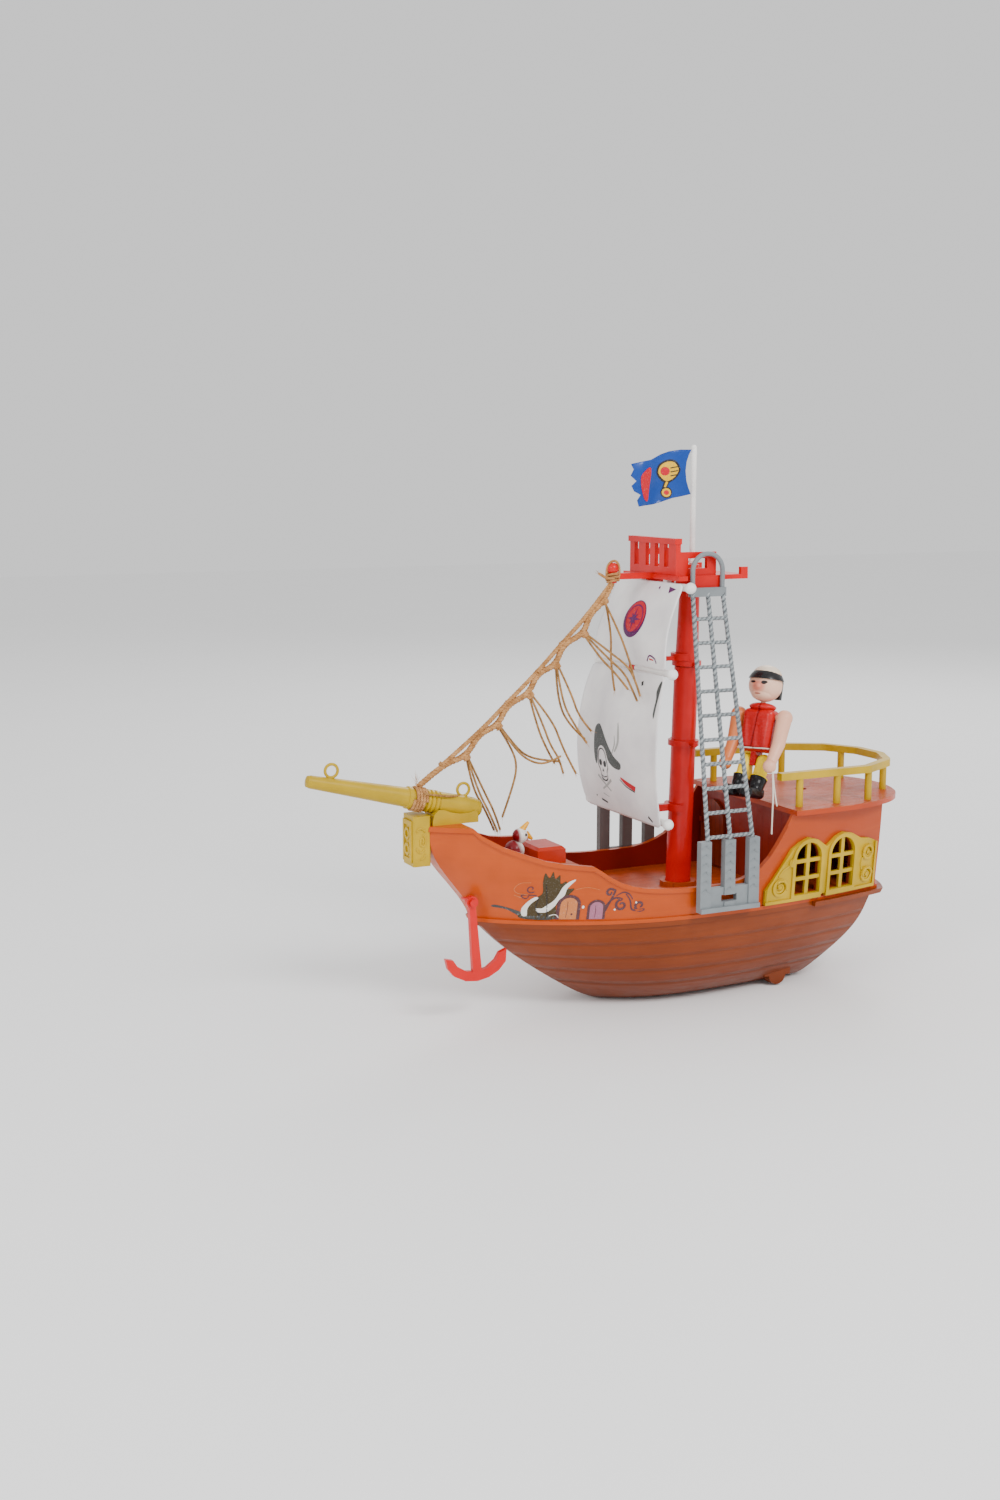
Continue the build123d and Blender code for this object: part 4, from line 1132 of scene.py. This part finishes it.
base_wave = loop([(126.5, 64.8), (120.0, 63.6), (114.0, 60.0), (110.8, 58.2), (98.0, 58.0),
                  (97.2, 60.2), (103.0, 61.2), (107.0, 60.0),
                  (111.4, 61.6), (115.0, 63.2), (120.2, 65.0), (125.6, 66.2)], 5)


def doorway(cx, half, foot, top, grow_by=0.0):
    """A round-headed doorway; one that is grown for a rim also reaches a little lower."""
    shoulder = top - half
    reach = half + grow_by
    low = foot - (0.1 if grow_by else 0.0)
    arch = [(cx + reach * math.cos(math.radians(a)), shoulder + reach * math.sin(math.radians(a)))
            for a in range(10, 180, 10)]
    return [(cx + half + grow_by, low), (cx + half + grow_by, shoulder), *arch,
            (cx - half - grow_by, shoulder), (cx - half - grow_by, low)]


door_big = doorway(90.4, 4.2, 58.4, 71.2)
door_small = doorway(76.2, 3.4, 58.4, 68.4)
scrolls = [
    stroke([(71.8, 62.6)] + curl(69.9, 73.6, 2.5, 1.1, 180, -1), 1.1, 0.7, 1.4),
    stroke([(72.4, 60.4), (71.0, 66.4), (67.2, 70.2)] + curl(63.2, 66.0, 3.4, 1.2, 90, -1), 0.9, 0.8,
           1.5),
    stroke([(61.2, 72.4), (58.6, 68.4), (57.0, 63.0)] + curl(53.0, 65.2, 3.3, 1.1, 225, 1), 0.7, 0.9,
           1.5),
    stroke([(66.4, 71.4), (62.8, 73.4), (59.4, 72.2), (57.2, 69.0)], 0.5, 0.5, 0.9),
    stroke([(108.4, 74.6)] + curl(110.2, 76.4, 2.2, 0.9, 270, 1), 0.8, 0.6),
    stroke([(107.0, 72.4)] + curl(112.0, 72.0, 2.0, 0.9, 20, -1), 0.7, 0.5),
]
spray = [stroke([(111.4, 73.0), (116.4, 73.8), (118.4, 76.4), (116.0, 79.8), (110.8, 80.2)], 0.35,
                0.25),
         stroke([(88.0, 76.0), (82.0, 77.0), (75.4, 75.4)], 0.3, 0.2),
         stroke([(117.8, 72.6), (113.0, 70.6)], 0.35, 0.25)]
for side, word in SIDES:
    first, second, third = on_hull(side, 0.10), on_hull(side, 0.20), on_hull(side, 0.30)
    layers = [
        ink(f"decal_waves_{word}", [[base_wave]], first, ink_dark),
        ink(f"decal_leaf_{word}", [[wave_back]], first, ink_leaf),
        ink(f"decal_crest_{word}", [[crest], [foam]], second, ink_white),
        ink(f"decal_arch_rims_{word}", [[doorway(90.4, 4.2, 58.3, 71.2, 1.7)],
                                        [doorway(76.2, 3.4, 58.3, 68.4, 1.3)]], second,
            ink_smoke),
        ink(f"decal_door_big_{word}", [[door_big]], third, ink_peach),
        ink(f"decal_door_small_{word}", [[door_small]], third, ink_lilac),
        ink(f"decal_scrolls_{word}", [[s] for s in scrolls], first, ink_smoke, grid=0.9),
        ink(f"decal_spray_{word}", [[s] for s in spray], first, ink_peach, grid=0.9),
        ink(f"decal_dots_{word}", [[ring(66.6, 63.6, 0.55, 0.6, 10)], [ring(55.2, 67.2, 0.55, 0.6, 10)],
                                   [ring(83.2, 65.6, 0.7, 0.9, 10)],
                                   [stroke([(99.4, 60.4), (96.6, 61.2), (94.8, 59.4)], 0.5, 0.3)]],
            third, ink_white, grid=0.9),
        ink(f"decal_knobs_{word}", [[ring(88.6, 61.4, 0.5, 0.6, 10)],
                                    [stroke([(91.4, 59.4), (91.0, 64.0), (91.2, 69.0)], 0.25, 0.25)],
                                    [stroke([(76.8, 59.4), (76.6, 63.0), (76.8, 66.4)], 0.25, 0.25)]],
                                    on_hull(side, 0.38),
            ink_smoke, grid=0.9),
        ink(f"decal_veins_{word}", [[stroke([(100.4, 59.6), (101.4, 68.0), (103.2, 79.0)], 0.5, 0.3)],
                                    [stroke([(104.0, 60.4), (106.4, 65.0), (105.6, 71.4)], 0.7, 0.3)]],
                                    second, ink_black, grid=0.9),
    ]
    for piece in layers:
        face_all(piece, (0, side, 0))
print("decal layers", len(layers) * 2)

# %% [markdown]
# ## Flag
# The flag is a thin blue plastic sheet with a torn free edge, moulded round its pole and blown into
# soft waves that grow away from it. The same outline filler used for the prints fills it, and the
# print of yellow and red shapes is laid on both of its sides.

# %% Flag
FLAG_EDGE = [(-4.2, 311.4), (-2.6, 308.4), (-1.2, 304.6), (-0.6, 299.6), (-1.2, 294.4), (-2.6, 290.2),
             (-4.2, 286.6), (2, 285.4),
             (8, 284.5), (14, 282.6), (20, 281), (25, 280.6), (30.5, 280), (31.6, 283.4), (29, 286.4),
             (33, 288.4), (34.4, 291.4),
             (31.8, 294.0), (35, 297.0), (33.4, 300.4), (34.5, 303.4), (28, 304.8), (22, 305.8),
             (16, 308.2), (10, 310.4), (3, 311.4)]


FLAG_THICKNESS = 0.36


def flag_wave(x, z):
    reach = smooth_step(x, -4.0, 26.0)
    return 1.8 * reach * math.sin((x + 4) * 0.24 + (z - 296) * 0.05) + 0.5 * reach * math.sin(z * 0.32)


def on_flag(side, proud):
    return lambda a, b: (a, flag_wave(a, b) + side * (FLAG_THICKNESS / 2 + proud), b)


flag_paint = simple_plastic("blue flag plastic", srgb(0, 60, 146), rough=0.35, coat=0.2)
flag = ink("flag_sheet", [[FLAG_EDGE]], lambda a, b: (a, flag_wave(a, b), b), flag_paint, "flagstaff",
           grid=1.4)
solid_sheet(flag, FLAG_THICKNESS)
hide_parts("flag")
flag_yellow = ink_paint("yellow ink", srgb(228, 178, 20), 0.1)
fan = loop([(3.0, 301.0), (6.0, 305.2), (11.0, 305.8), (16.4, 303.0), (18.0, 298.6), (15.0, 294.6),
            (11.4, 292.8), (7.2, 294.6),
            (4.2, 297.6)])


def shrunk(outline, centre, f):
    return [(centre[0] + (p[0] - centre[0]) * f, centre[1] + (p[1] - centre[1]) * f) for p in outline]


FLAG_PRINTS = [
    ("flag_print_edge", [[fan], [stroke([(11.0, 294.0), (12.6, 290.2), (12.2, 287.0)], 3.0, 2.2)],
                         [ring(11.6, 287.6, 3.4, 3.2, 24)]],
     0.08, ink_black),
    ("flag_print_yellow", [[shrunk(fan, (10.4, 299.4), 0.82)],
                           [stroke([(11.2, 293.6), (12.4, 290.6)], 1.4, 1.0)],
                           [ring(11.6, 287.6, 2.6, 2.4, 20)]], 0.16, flag_yellow),
    ("flag_print_red", [[ring(12.6, 299.4, 2.8, 2.4, 16)], [ring(11.6, 287.6, 1.5, 1.3, 14)],
                        [loop([(22.8, 301.4), (28.6, 298.0), (29.2, 293.0), (26.6, 284.4),
                               (23.6, 283.4), (22.4, 292.0)])]],
     0.24, ink_red),
    ("flag_print_bars", [[stroke([(4.6, 302.0 - 2.2 * k), (9.4, 301.2 - 2.2 * k)], 0.6, 0.6)]
                         for k in range(3)], 0.26, ink_black),
]
for side, word in SIDES:
    for name, shapes, proud, paint in FLAG_PRINTS:
        piece = ink(f"{name}_{word}", shapes, on_flag(side, proud), paint, "flagstaff", grid=1.4)
        face_all(piece, (0, side, 0))

# %% [markdown]
# ## Roped ladders
# Each ladder is one grey moulding shaped like knotted rope. Its rods are plain, and a thin lay of
# twine with three yarns follows every rail and rung, so the moulding shows the twist of a rope. The
# foot of the ladder carries three columns of small arrow ribs, repeated upwards by one tree.

# %% Ladder ropes
RUNGS = [219.0, 205.9, 192.8, 179.7, 166.6, 153.5, 140.4, 127.3, 114.2, 101.1]


LADDER_FOOT = 99.0
LADDER_RISE = 137.0


def ladder_point(place, z, side):
    """A point at a height on a ladder; place goes from -1 at its aft rail to 1 at its fore rail."""
    t = (z - LADDER_FOOT) / LADDER_RISE
    return ((1.6 + place * 14.5) * (1 - t) + (1.4 + place * 9.6) * t, side * (57.4 - 29.0 * t), z)


def moulded_rope(name, points, radius, lay, paint):
    rope, _ = lay_twine(name, points, radius * MM, lay * MM, 0.9 * MM, paint)


rope_grey, rope_grey_tint = moulded("grey moulded rope", srgb(166, 172, 174), rough=0.5, coat=0.05)
x, y, z = rope_grey.place
# painted shade: the grooves of the twist are coloured dark grey
groove = ((x * 2.1 + z * 2.1).sin() * 0.5 + 0.5).ramp(0.15, 0.75)
rope_grey.put("Base Color", rope_grey.mix(groove, srgb(84, 90, 94), rope_grey_tint))
rope_grey.bump(rope_grey.height + groove * 0.5, 1.0, 0.8)
# painted shade: the starboard ladder is the same grey moulding, coloured darker for the shade on the
# far side
shaded_ladder_grey = simple_plastic("grey plastic in painted shade", srgb(98, 90, 88), rough=0.55, coat=0.0)
give("ladder_starboard", shaded_ladder_grey)
for side, word in SIDES:
    for place in (-1, 0, 1):
        moulded_rope(f"ladder_rail_{word}_{place + 2}",
                     [ladder_point(place, 98.5 + 27.0 * k, side) for k in range(6)], 1.42, 5.6,
                     rope_grey)
    for i, z in enumerate(RUNGS):
        ends = [ladder_point(place, z, side) for place in (-1, -0.33, 0.33, 1)]
        moulded_rope(f"ladder_rung_{word}_{i + 1}", ends, 1.26, 5.0, rope_grey)
print("ladder ropes", 2 * (3 + len(RUNGS)))

# %% [markdown]
# ## Arrow ribs
# A rib is a small bent bar. Points along a straight route up each foot bar carry one each.

# %% Arrow ribs
rib_tree = Tree("arrow ribs", [("Spacing", "Float", 0.0044), ("Arm", "Float", 0.0034),
                               ("Bar", "Float", 0.0006),
                               ("Material", "Material", None)])
rib_in = rib_tree.entry.outputs
rib_points = rib_tree.node("GeometryNodeResampleCurve", {"mode": "LENGTH"}, {
    "Curve": rib_in["Geometry"], "Length": rib_in["Spacing"]})
rib_arms = []
for turn in (0.62, -0.62):
    size = rib_tree.node("ShaderNodeCombineXYZ", {},
                         {0: rib_in["Arm"], 1: rib_in["Bar"], 2: rib_in["Bar"]})
    bar = rib_tree.node("GeometryNodeMeshCube", {}, {"Size": size.outputs[0]})
    moved = rib_tree.node("GeometryNodeTransform", {}, {
        "Geometry": bar.outputs[0], "Translation": (0.0012 if turn > 0 else -0.0012, 0.0, 0.0),
        "Rotation": (0.0, turn, 0.0)})
    rib_arms.append(moved.outputs[0])
rib_join = rib_tree.node("GeometryNodeJoinGeometry")
for arm in rib_arms:
    rib_tree.group.links.new(arm, rib_join.inputs[0])
rib_place = rib_tree.node("GeometryNodeInstanceOnPoints", {},
                          {"Points": rib_points.outputs[0], "Instance": rib_join.outputs[0]})
rib_tree.finish(rib_place.outputs[0], rib_in["Material"])
for side, word in SIDES:
    for i, rib_x in enumerate((-13.1, 2.6, 18.2)):
        route = route_object("rib route", [(rib_x, side * 59.5, 72.0), (rib_x, side * 59.5, 84.0),
                                           (rib_x, side * 59.5, 96.5)])
        ribs = grow(rib_tree, route, f"ladder_ribs_{word}_{i + 1}", {
            "Spacing": 4.4 * MM, "Arm": 3.2 * MM, "Bar": 0.7 * MM, "Material": grey.material})
        drop(route)
        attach(ribs, "boat")

# %% [markdown]
# ## Stern mouldings
# The yellow window panels carry raised scrolls and a border line. Each is a round bead that follows
# a route laid on the side of the hull, so a long bead and a curl are the same construction.

# %% Stern mouldings
panel_surface = surface_of(*[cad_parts[n].data
                            for n in ("window_panel_port", "window_panel_starboard", "upper_hull")])
END_SHARE = 0.72


def bead(name, points, radius, paint, body="boat", sides=10):
    """A round bead along a route in millimetres."""
    verts, faces = [], []
    line = [Vector(p) for p in points]
    for i, place in enumerate(line):
        ahead = (line[min(i + 1, len(line) - 1)] - line[max(i - 1, 0)]).normalized()
        side = ahead.cross(Vector((0.13, 0.98, 0.16))).normalized()
        up = ahead.cross(side)
        r = radius * (END_SHARE if i in (0, len(line) - 1) else 1.0)
        for k in range(sides):
            a = math.tau * k / sides
            verts.append(place + side * math.cos(a) * r + up * math.sin(a) * r)
    for i in range(len(line) - 1):
        for k in range(sides):
            faces.append((i * sides + k, i * sides + (k + 1) % sides, (i + 1) * sides + (k + 1) % sides,
                          (i + 1) * sides + k))
    faces.append(tuple(range(sides)))
    faces.append(tuple(range(len(verts) - 1, len(verts) - sides - 1, -1)))
    made = mesh_object(name, verts, faces, paint.material, body)
    rework(made, outward)


def laid(points, side, proud):
    out = []
    for a, b in points:
        hit = panel_surface.ray_cast(Vector((a * MM, side * 0.1, b * MM)), Vector((0, -side, 0)))[0]
        if hit is not None:
            out.append((a, hit.y / MM + side * proud, b))
    return out


SCROLLS = [
    ("front_curl", curl(-35.0, 67.0, 4.6, 1.6, 200, -1), 0.75),
    ("border", [(-26.4, 59), (-26.4, 66), (-30.2, 71.4), (-37.6, 81), (-43.6, 88)], 0.7),
    ("aft_high", curl(-103.0, 79.5, 4.2, 1.6, 0, 1), 0.7),
    ("aft_low", curl(-103.0, 66.0, 4.2, 1.6, 180, -1), 0.7),
    ("aft_link", [(-99.0, 76.5), (-98.2, 72.6), (-99.0, 68.8)], 0.6),
    ("front_leaf", [(-33.4, 73.2), (-36.6, 76.6), (-41.0, 79.0), (-43.4, 83.2)], 0.55),
]
for side, word in SIDES:
    for name, points, r in SCROLLS:
        bead(f"moulding_{name}_{word}", laid(dense(points), side, 0.15), r, gold)

# %% [markdown]
# ## Figurehead relief
# The carved head under the bowsprit has a raised scroll on each cheek, and a brow, a beard and a leaf
# below it. They are the same round beads, laid on the block's sides.

# %% Figurehead relief
head_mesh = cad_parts["figurehead"].data
head_surface = surface_of(head_mesh)
head_low = [min(v.co[k] for v in head_mesh.vertices) / MM for k in range(3)]
head_high = [max(v.co[k] for v in head_mesh.vertices) / MM for k in range(3)]
print("figurehead box", [round(v, 1) for v in head_low], [round(v, 1) for v in head_high])


def on_head(points, side):
    out = []
    for f, g in points:
        x = head_low[0] + (head_high[0] - head_low[0]) * f
        z = head_low[2] + (head_high[2] - head_low[2]) * g
        hit = head_surface.ray_cast(Vector((x * MM, side * 0.05, z * MM)), Vector((0, -side, 0)))[0]
        if hit is not None and hit.y * side > 0:
            out.append((x, hit.y / MM + side * 0.1, z))
    return out


HEAD_CURLS = [
    ("cheek", [(c[0] * 0.2 + 0.45, c[1] * 0.13 + 0.5) for c in curl(0, 0, 1.0, 1.5, 90, 1)], 0.55),
    ("brow", [(0.3, 0.68), (0.45, 0.75), (0.62, 0.76), (0.76, 0.7)], 0.6),
    ("beard", [(0.36, 0.34), (0.5, 0.28), (0.66, 0.3), (0.78, 0.38)], 0.55),
    ("leaf", [(0.3, 0.24), (0.42, 0.16), (0.58, 0.14)], 0.5),
]
for side, word in SIDES:
    for name, points, r in HEAD_CURLS:
        path = on_head(dense(points, 3), side)
        if len(path) > 3:
            bead(f"figurehead_{name}_{word}", path, r, gold)

# %% [markdown]
# ## Sailor
# The figure is a simple toy doll: skin with a rosy nose, a black headband with a knot, a glossy red
# vest over a red tunic, yellow trousers and black boots. Its colours follow its own frame, found by
# undoing the place, turn and lean of its stance, so that a boot's edge stays on the boot.

# %% Sailor paints
STANCE = Matrix.Translation(Vector((-32.8, 29.0, 136.0))) @ Matrix.Rotation(math.radians(28.0), 4,
                                                                            "Z") @ \
    Matrix.Rotation(math.radians(-13.0), 4, "Y")
UNDO = STANCE.inverted()


def stance_xyz(paint):
    """The figure's own x, y and z in millimetres."""
    x, y, z = paint.object_xyz()
    return [x * UNDO[r][0] + y * UNDO[r][1] + z * UNDO[r][2] + UNDO[r][3] for r in range(3)]


def patch(paint, fields, centre, size, soft=0.25):
    """A round patch, 1 at its centre and 0 outside."""
    total = None
    for field, c, s in zip(fields, centre, size):
        part = ((field - c) / s) ** 2.0
        total = part if total is None else total + part
    return 1.0 - total.ramp(1.0 - soft, 1.0 + soft)


skin, skin_tint = moulded("skin plastic", srgb(250, 208, 184), rough=0.42, coat=0.1, spread=0.06)
fields = stance_xyz(skin)
front = fields[0].above(4.0)
rosy = patch(skin, fields, (10.0, 0.0, 42.4), (4.0, 4.0, 3.6), 0.6)
shade = skin.mix(rosy * 0.65, skin_tint, srgb(232, 128, 110))
# painted highlight: the top of the head is coloured paler
crown_highlight = fields[2].ramp(50.2, 51.4)
shade = skin.mix(crown_highlight, shade, srgb(244, 226, 204))
eye_port = patch(skin, fields[1:], (3.3, 44.6), (1.5, 1.05), 0.12) * front
eye_starboard = patch(skin, fields[1:], (-3.6, 44.7), (1.9, 0.75), 0.12) * front
eye_port_edge = patch(skin, fields[1:], (3.6, 44.9), (1.7, 0.8), 0.12) * front
mouth = patch(skin, fields[1:], (0.0, 38.2), (1.9, 0.45), 0.2) * front
shade = skin.mix(mouth * 0.8, shade, srgb(150, 60, 50))
skin.put("Base Color", skin.mix(eye_port.max(eye_starboard).max(eye_port_edge), shade,
                                srgb(26, 20, 22)))
skin.bump(skin.height, 1.0, 0.4)
give("figure_head", skin)
arm_skin = simple_plastic("arm plastic", srgb(248, 196, 172), rough=0.42, coat=0.1, spread=0.08)
give("figure_arm_port", arm_skin)
give("figure_arm_starboard", simple_plastic("arm plastic in shade", srgb(236, 150, 112), rough=0.42,
                                            spread=0.08))
black_cloth = simple_plastic("black plastic", srgb(24, 22, 24), rough=0.3, coat=0.3, ripple=0.12)
give("figure_scarf", black_cloth)

vest, vest_tint = moulded("red vest plastic", srgb(192, 0, 4), rough=0.28, coat=0.35, spread=0.12)
fields = stance_xyz(vest)
front_seam = (fields[1] - (fields[2] - 30.0) * 0.10 - 0.6).abs() * 1.1
opening = (1.0 - front_seam.clamp()) * fields[0].above(3.0) * fields[2].above(7.0)
fold = ((fields[1] * 1.1 + fields[2] * 0.16).sin() * 0.5 + 0.5) * fields[2].below(24.0)
hem = 1.0 - ((fields[2] - 7.4).abs() * 0.9).clamp()
# painted shade: the front opening, the hem groove and one side of each fold are coloured darker
vest_painted_shade = (opening * 0.7 + hem * 0.4 + fold * 0.12).clamp()
vest.put("Base Color", vest.mix(vest_painted_shade, vest_tint, srgb(110, 0, 8)))
vest.bump(vest.height - opening * 0.5 + fold * 0.3 - hem * 0.4, 1.0, 0.8)
give("figure_torso", vest)

legs, legs_tint = moulded("yellow trouser plastic", srgb(255, 222, 0), rough=0.38, coat=0.15,
                          spread=0.08)
fields = stance_xyz(legs)
hip_turn = math.radians(-24.0)
down = fields[0] * math.sin(hip_turn) + fields[2] * math.cos(hip_turn)
boot = down.below(-10.6)
legs.put("Base Color", legs.mix(boot, legs_tint, srgb(20, 19, 22)))
legs.put("Roughness", boot * -0.12 + 0.38)
boot_crease = (down * 1.6).sin() * boot
legs.bump(legs.height + boot_crease * 0.15, 1.0, 0.5)
give("figure_leg_port", legs)
give("figure_leg_starboard", legs)

# %% [markdown]
# ## Sailor's belt and string
# A thin white string goes round the waist as a belt, and two ends of it hang from the port hand.
# The jaw, the collar and the crown of the head are egg shapes in the figure's own frame.

# %% Belt and string
def stance_point(x, y, z):
    return tuple(STANCE @ Vector((x, y, z)))


string_paint = simple_plastic("white string", srgb(232, 222, 208), rough=0.7, spread=0.1, ripple=0.2)
belt_path = []
for i in range(41):
    a = math.tau * i / 40
    belt_path.append(stance_point(6.3 * max(-1.0, min(1.0, 1.35 * math.cos(a))),
                                  9.9 * max(-1.0, min(1.0, 1.35 * math.sin(a))),
                                  7.2 + 0.5 * math.sin(a)))
bead("figure_belt", belt_path, 0.42, string_paint, body="figure")


def ball(name, centre, radii, paint, body, across=20, rows=12):
    """An egg of a given size in the figure's own frame."""
    verts, faces = [], []
    for j in range(rows + 1):
        up = math.pi * j / rows
        for i in range(across):
            a = math.tau * i / across
            verts.append(stance_point(centre[0] + radii[0] * math.sin(up) * math.cos(a),
                                      centre[1] + radii[1] * math.sin(up) * math.sin(a),
                                      centre[2] + radii[2] * math.cos(up)))
    for j in range(rows):
        for i in range(across):
            faces.append((j * across + i, (j + 1) * across + i, (j + 1) * across + (i + 1) % across,
                          j * across + (i + 1) % across))
    made = mesh_object(name, verts, faces, paint.material, body)
    rework(made, lambda mesh: bmesh.ops.remove_doubles(mesh, verts=mesh.verts, dist=1e-6), outward)
    return made


ball("figure_jaw", (1.6, 0.0, 38.6), (7.2, 7.0, 4.2), skin, "figure_head")
ball("figure_collar", (0.0, 0.0, 31.2), (6.2, 8.2, 2.6), vest, "figure")
ball("figure_dome", (-0.6, 0.0, 49.0), (8.6, 8.6, 6.4), skin, "figure_head")
HAND_STRING = [(-30.4, 49.8, 133.5), (-30.0, 51.6, 122.0), (-29.0, 52.6, 110.0), (-28.4, 53.2, 98.6)]
SHORT_STRING = [(-30.8, 49.6, 133.0), (-30.6, 51.0, 124.0), (-32.4, 52.0, 114.0)]
hand_string, hand_line = lay_twine("hand_string", HAND_STRING, 0.5 * MM, 2.4 * MM, 0.4 * MM,
                                   string_paint, "figure_arm_port")
length_of(hand_line)
print("hand string mm", round(length_of(hand_line) / MM, 1))
lay_twine("hand_string_short", SHORT_STRING, 0.45 * MM, 2.4 * MM, 0.4 * MM, string_paint,
          "figure_arm_port")

# %% [markdown]
# ## Parrot
# The bird on the fore deck is maroon with a white breast and an orange-yellow beak and crest.

# %% Parrot paints
bird, bird_tint = moulded("maroon bird plastic", srgb(126, 24, 30), rough=0.4, coat=0.2, spread=0.14)
x, y, z = bird.place
breast = 1.0 - (x - (z - 91.5) * 0.3).ramp(102.0, 105.2)
feather = ((z * 2.6).sin() * (y * 2.2 + x).sin()) * 0.5 + 0.5
bird.put("Base Color", bird.mix(breast, bird.mix(feather * 0.35, bird_tint, srgb(86, 14, 22)),
                                srgb(232, 226, 216)))
bird.bump(bird.height + feather * 0.3, 1.0, 0.5)
give("parrot_body", bird)
bird_head, head_tint = moulded("white bird plastic", srgb(236, 232, 226), rough=0.4, coat=0.2,
                               spread=0.05)
x, y, z = bird_head.place
pupil = 1.0 - (((x - 100.6) ** 2.0 + (z - 100.4) ** 2.0).ramp(0.5, 0.9))
nape = x.ramp(103.4, 105.0)
bird_head.put("Base Color", bird_head.mix(pupil, bird_head.mix(nape, head_tint, srgb(126, 24, 30)),
                                          srgb(20, 16, 16)))
bird_head.bump(bird_head.height, 1.0, 0.4)
give("parrot_head", bird_head)
give("parrot_beak", simple_plastic("orange beak plastic", srgb(246, 172, 0), rough=0.36, coat=0.2))

# %% [markdown]
# ## Room and light
# The boat stands on a flat pale floor, under three large soft lights and an even sky, so that the
# colours read clearly and the shadows stay faint.

# %% Room and light
floor_paint = Paint("pale floor", (0.95, 0.95, 0.95), rough=0.9)
x, y, z = floor_paint.object_xyz()
floor_paint.put("Base Color", floor_paint.mix(floor_paint.noise(floor_paint.vector(x, y, z), 0.01, 2.0),
                                              (0.94, 0.94, 0.94), (0.96, 0.96, 0.96)))
FLOOR_HALF = 4.0
FLOOR_LEVEL = -0.0004
floor_mesh = bpy.data.meshes.new("floor")
corners = [(-1, -1), (1, -1), (1, 1), (-1, 1)]
floor_mesh.from_pydata([(FLOOR_HALF * a, FLOOR_HALF * b, FLOOR_LEVEL) for a, b in corners], [],
                       [(0, 1, 2, 3)])
floor_mesh.materials.append(floor_paint.material)
floor = bpy.data.objects.new("floor", floor_mesh)
bpy.context.scene.collection.objects.link(floor)
floor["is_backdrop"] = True


def soft_light(name, place, aim, size, power):
    lamp = bpy.data.lights.new(name, "AREA")
    lamp.shape = "DISK"
    lamp.size = size
    lamp.energy = power
    made = bpy.data.objects.new(name, lamp)
    made.location = place
    made.rotation_euler = (Vector(aim) - Vector(place)).to_track_quat("-Z", "Y").to_euler()
    bpy.context.scene.collection.objects.link(made)


soft_light("key light", (-0.2, 1.3, 1.2), (0, 0, 0.14), 0.6, 20.0)
soft_light("fill light", (1.3, 0.6, 0.8), (0, 0, 0.14), 0.7, 7.0)
soft_light("rim light", (-0.9, -1.1, 1.1), (0, 0, 0.2), 0.7, 8.0)
world = bpy.data.worlds.new("plain sky")
world.use_nodes = True
sky = world.node_tree.nodes["Background"].inputs
sky["Color"].default_value = (1.0, 1.0, 1.0, 1.0)
sky["Strength"].default_value = 0.95
bpy.context.scene.world = world

# %% [markdown]
# ## Materials and sizes
# Any node without a material is named here, and the sizes before and after are gathered.

# %% Finish
for plain_name, plain_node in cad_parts.items():
    if not [s for s in plain_node.material_slots if s.material]:
        print("no finish on", plain_name)
size = {"cad": [list(c) for c in cad_box], "visual": [list(c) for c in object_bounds()]}
